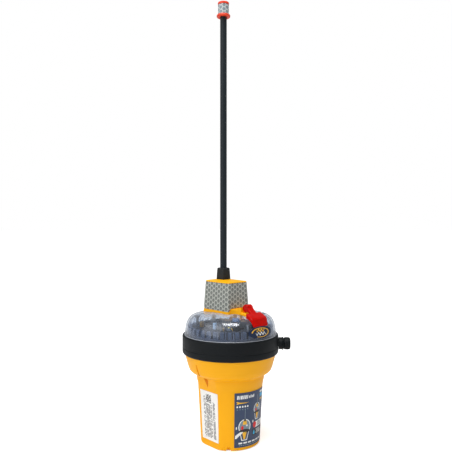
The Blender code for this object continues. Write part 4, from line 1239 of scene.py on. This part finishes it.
def deck_details():
    """Small parts that stand on the deck, seen through the dome."""
    chips, pins, cans, jumpers = [], [], [], []
    foot = DECK_Z + 0.05
    for i, turn in enumerate((20, 70, 110, 160, 200, 250, 290, 340)):
        a = math.radians(turn)
        x, y, _ = from_front(33.0, a, 0)
        size = 2.6 + 0.7 * (i % 3)
        chips.append(block((x - size, y - 2.0, foot), (x + size, y + 2.0, DECK_Z + 2.2 + 0.6 * (i % 2))))
        for k in range(4):
            px = x - size + (2 * size) * (k + 0.5) / 4
            for side in (-1, 1):
                y0, y1 = sorted((y + side * 2.0, y + side * 2.9))
                pins.append(block((px - 0.25, y0, foot), (px + 0.25, y1, DECK_Z + 0.5), 0.1))
    can = fillet([(0, 6.2), (1.6, 6.2), (1.8, 6.5), (2.6, 6.5), (2.6, 0.1), (0, 0.1)], 0.3)
    for turn, radius in ((-62, 38.0), (-13, 42.0), (12, 41.0), (75, 37.0), (128, 38.0), (170, 40.0)):
        a = math.radians(turn)
        cans.append(moved(lathe(can, 40), at(*from_front(radius, a, DECK_Z))))
    for turn in (-52, -38, 40, 140, 230):
        a = math.radians(turn)
        direction = Vector(from_front(1.0, a, 0))
        side = Vector((direction.y, -direction.x, 0))
        rings = []
        for k in range(13):
            t = k / 12
            level = DECK_Z + 0.5 + 3.4 * math.sin(math.pi * t)
            centre = direction * (37 + 7 * t) + side * 2.2 * math.sin(3 * t) + UP * level
            rings.append(wire_ring(centre, side, 0.28))
        jumpers.append(loft(rings))
    for name, parts, paint in (("chips", chips, "dark_plastic"), ("pins", pins, "steel"),
                               ("capacitors", cans, "steel"), ("jumpers", jumpers, "brass")):
        piece(f"deck_{name}", joined(parts), paint)


def strobe_lamps():
    lamp = [(0, 3.6), (1.0, 3.6), (1.9, 3.2), (2.5, 2.6), (2.6, 1.8), (3.6, 1.8), (3.6, 0.3), (0, 0.3)]
    die = [(0, 4.6), (0.8, 4.55), (1.15, 4.2), (1.15, 3.2), (0, 3.2)]
    dies = []
    for i in range(1, 5):
        spot = at(*middle(f"strobe_led_{i}"), DECK_Z)
        piece(f"strobe_lamp_{i}", moved(lathe(fillet(lamp, 0.3), 56), spot), "lamp_clear", "clear_lens",
              replaces=[f"strobe_led_{i}"])
        dies.append(moved(lathe(fillet(die, 0.2), 32), spot))
    piece("strobe_dies", joined(dies), "led_amber")
    pipe = lathe(fillet([(0, 8.0), (1.6, 7.9), (2.4, 7.3), (2.4, 0.3), (0, 0.3)], 0.4), 48)
    piece("status_light_pipe", moved(pipe, at(*middle("status_light"), DECK_Z)), "pale_blue",
          replaces=["status_light"])
    axis = Vector((*middle("homing_coil"), DECK_Z + 0.9))
    turns, steps = 5, 28
    rings = []
    for k in range(turns * steps + 1):
        a = 2 * math.pi * k / steps
        outward = Vector((math.cos(a), math.sin(a), 0))
        rings.append(wire_ring(axis + UP * (1.3 * k / steps) + outward * 2.2, outward, 0.36))
    piece("homing_coil_wire", loft(rings), "brass", replaces=["homing_coil"])

def paint_frame_nodes():
    """Frame nodes that stay shown, or hide inside the case, get the finish of their slot."""
    finishes = {
        "seal_black": ["dome_seal"],
        "deck_grey": ["upper_chassis"],
        "board_green": ["main_circuit_board", "antenna_board", "battery_contact_plate"],
        "steel": ["radio_shield", "oscillator_can"],
        "dark_plastic": ["buzzer", "battery_tray", "battery_lead_negative", "on_switch", "test_switch"],
        "ceramic": ["gnss_antenna"],
        "lead_red": ["battery_lead_positive"],
        "cell_wrap": [f"battery_cell_{i}" for i in range(1, 5)],
    }
    for paint, nodes in finishes.items():
        for name in nodes:
            for material_slot in frame["nodes"][name].material_slots:
                material_slot.material = PAINTS[paint]


# ---------------------------------------------------------------- stage

# Level directions toward the camera's side and across its view
TOWARD, RIGHT = Vector((-0.669, -0.743, 0)), Vector((0.743, -0.669, 0))


def aim(obj, way):
    obj.rotation_euler = way.to_track_quat("-Z", "Y").to_euler()


def stage():
    mesh = bpy.data.meshes.new("floor")
    reach = 30.0
    mesh.from_pydata([(-reach, -reach, 0), (reach, -reach, 0), (reach, reach, 0), (-reach, reach, 0)], [],
                     [(0, 1, 2, 3)])
    floor = link("floor", mesh)
    floor.location.z = -0.0005
    paint = Paint("studio_floor")
    made = paint.finish((0.9, 0.9, 0.9, 1), 0.7, Specular_IOR_Level=0.1, Emission_Color=(1, 1, 1, 1))
    seen = paint.add("LightPath") * 0.6
    feed(paint.tree, paint.shader.inputs["Emission Strength"], seen)
    mesh.materials.append(made)


def area_light(name, location, target, size, power):
    data = bpy.data.lights.new(name, "AREA")
    data.shape, data.size, data.size_y = "RECTANGLE", *size
    data.energy = power
    lamp = link(name, data)
    lamp.location = location
    aim(lamp, target - location)


def lights():
    head = UP * 0.14
    area_light("overhead", TOWARD * 0.37 + UP * 1.5, head, (0.70, 0.60), 13.0)
    area_light("key", TOWARD * 0.9 - RIGHT * 1.1 + UP * 0.9, head, (1.5, 1.5), 8.0)
    sun = bpy.data.lights.new("sun", "SUN")
    sun.energy, sun.angle = 0.75, math.radians(70)
    aim(link("sun", sun), -(TOWARD * 0.35 - RIGHT * 0.35 + UP))
    world = bpy.data.worlds.new("studio")
    world.use_nodes = True
    background = world.node_tree.nodes["Background"]
    strength = add(world.node_tree, "LightPath").ramp(0.0, 1.0, 0.33, 1.0)
    feed(world.node_tree, background.inputs["Strength"], strength)
    background.inputs["Color"].default_value = (1, 1, 1, 1)
    bpy.context.scene.world = world
    bpy.context.scene.view_settings.view_transform = "Standard"


def camera():
    data = bpy.data.cameras.new("camera")
    data.lens, data.sensor_width = 43.8, 36.0
    data.dof.use_dof = False
    obj = link("camera", data)
    obj.location = TOWARD * 0.679 - RIGHT * 0.0054 + UP * 0.2637
    obj.rotation_euler = (math.radians(90), 0, math.radians(-42))
    bpy.context.scene.camera = obj


PAINTS = make_paints()
for build in (camera, housing, contacts, collar, dome, lens_ribs, light_ring, dome_fittings, tower, sheet,
              red_cover, boot, whip, tip, front_label, side_label, badge, deck_details, strobe_lamps,
              paint_frame_nodes, stage, lights):
    build()
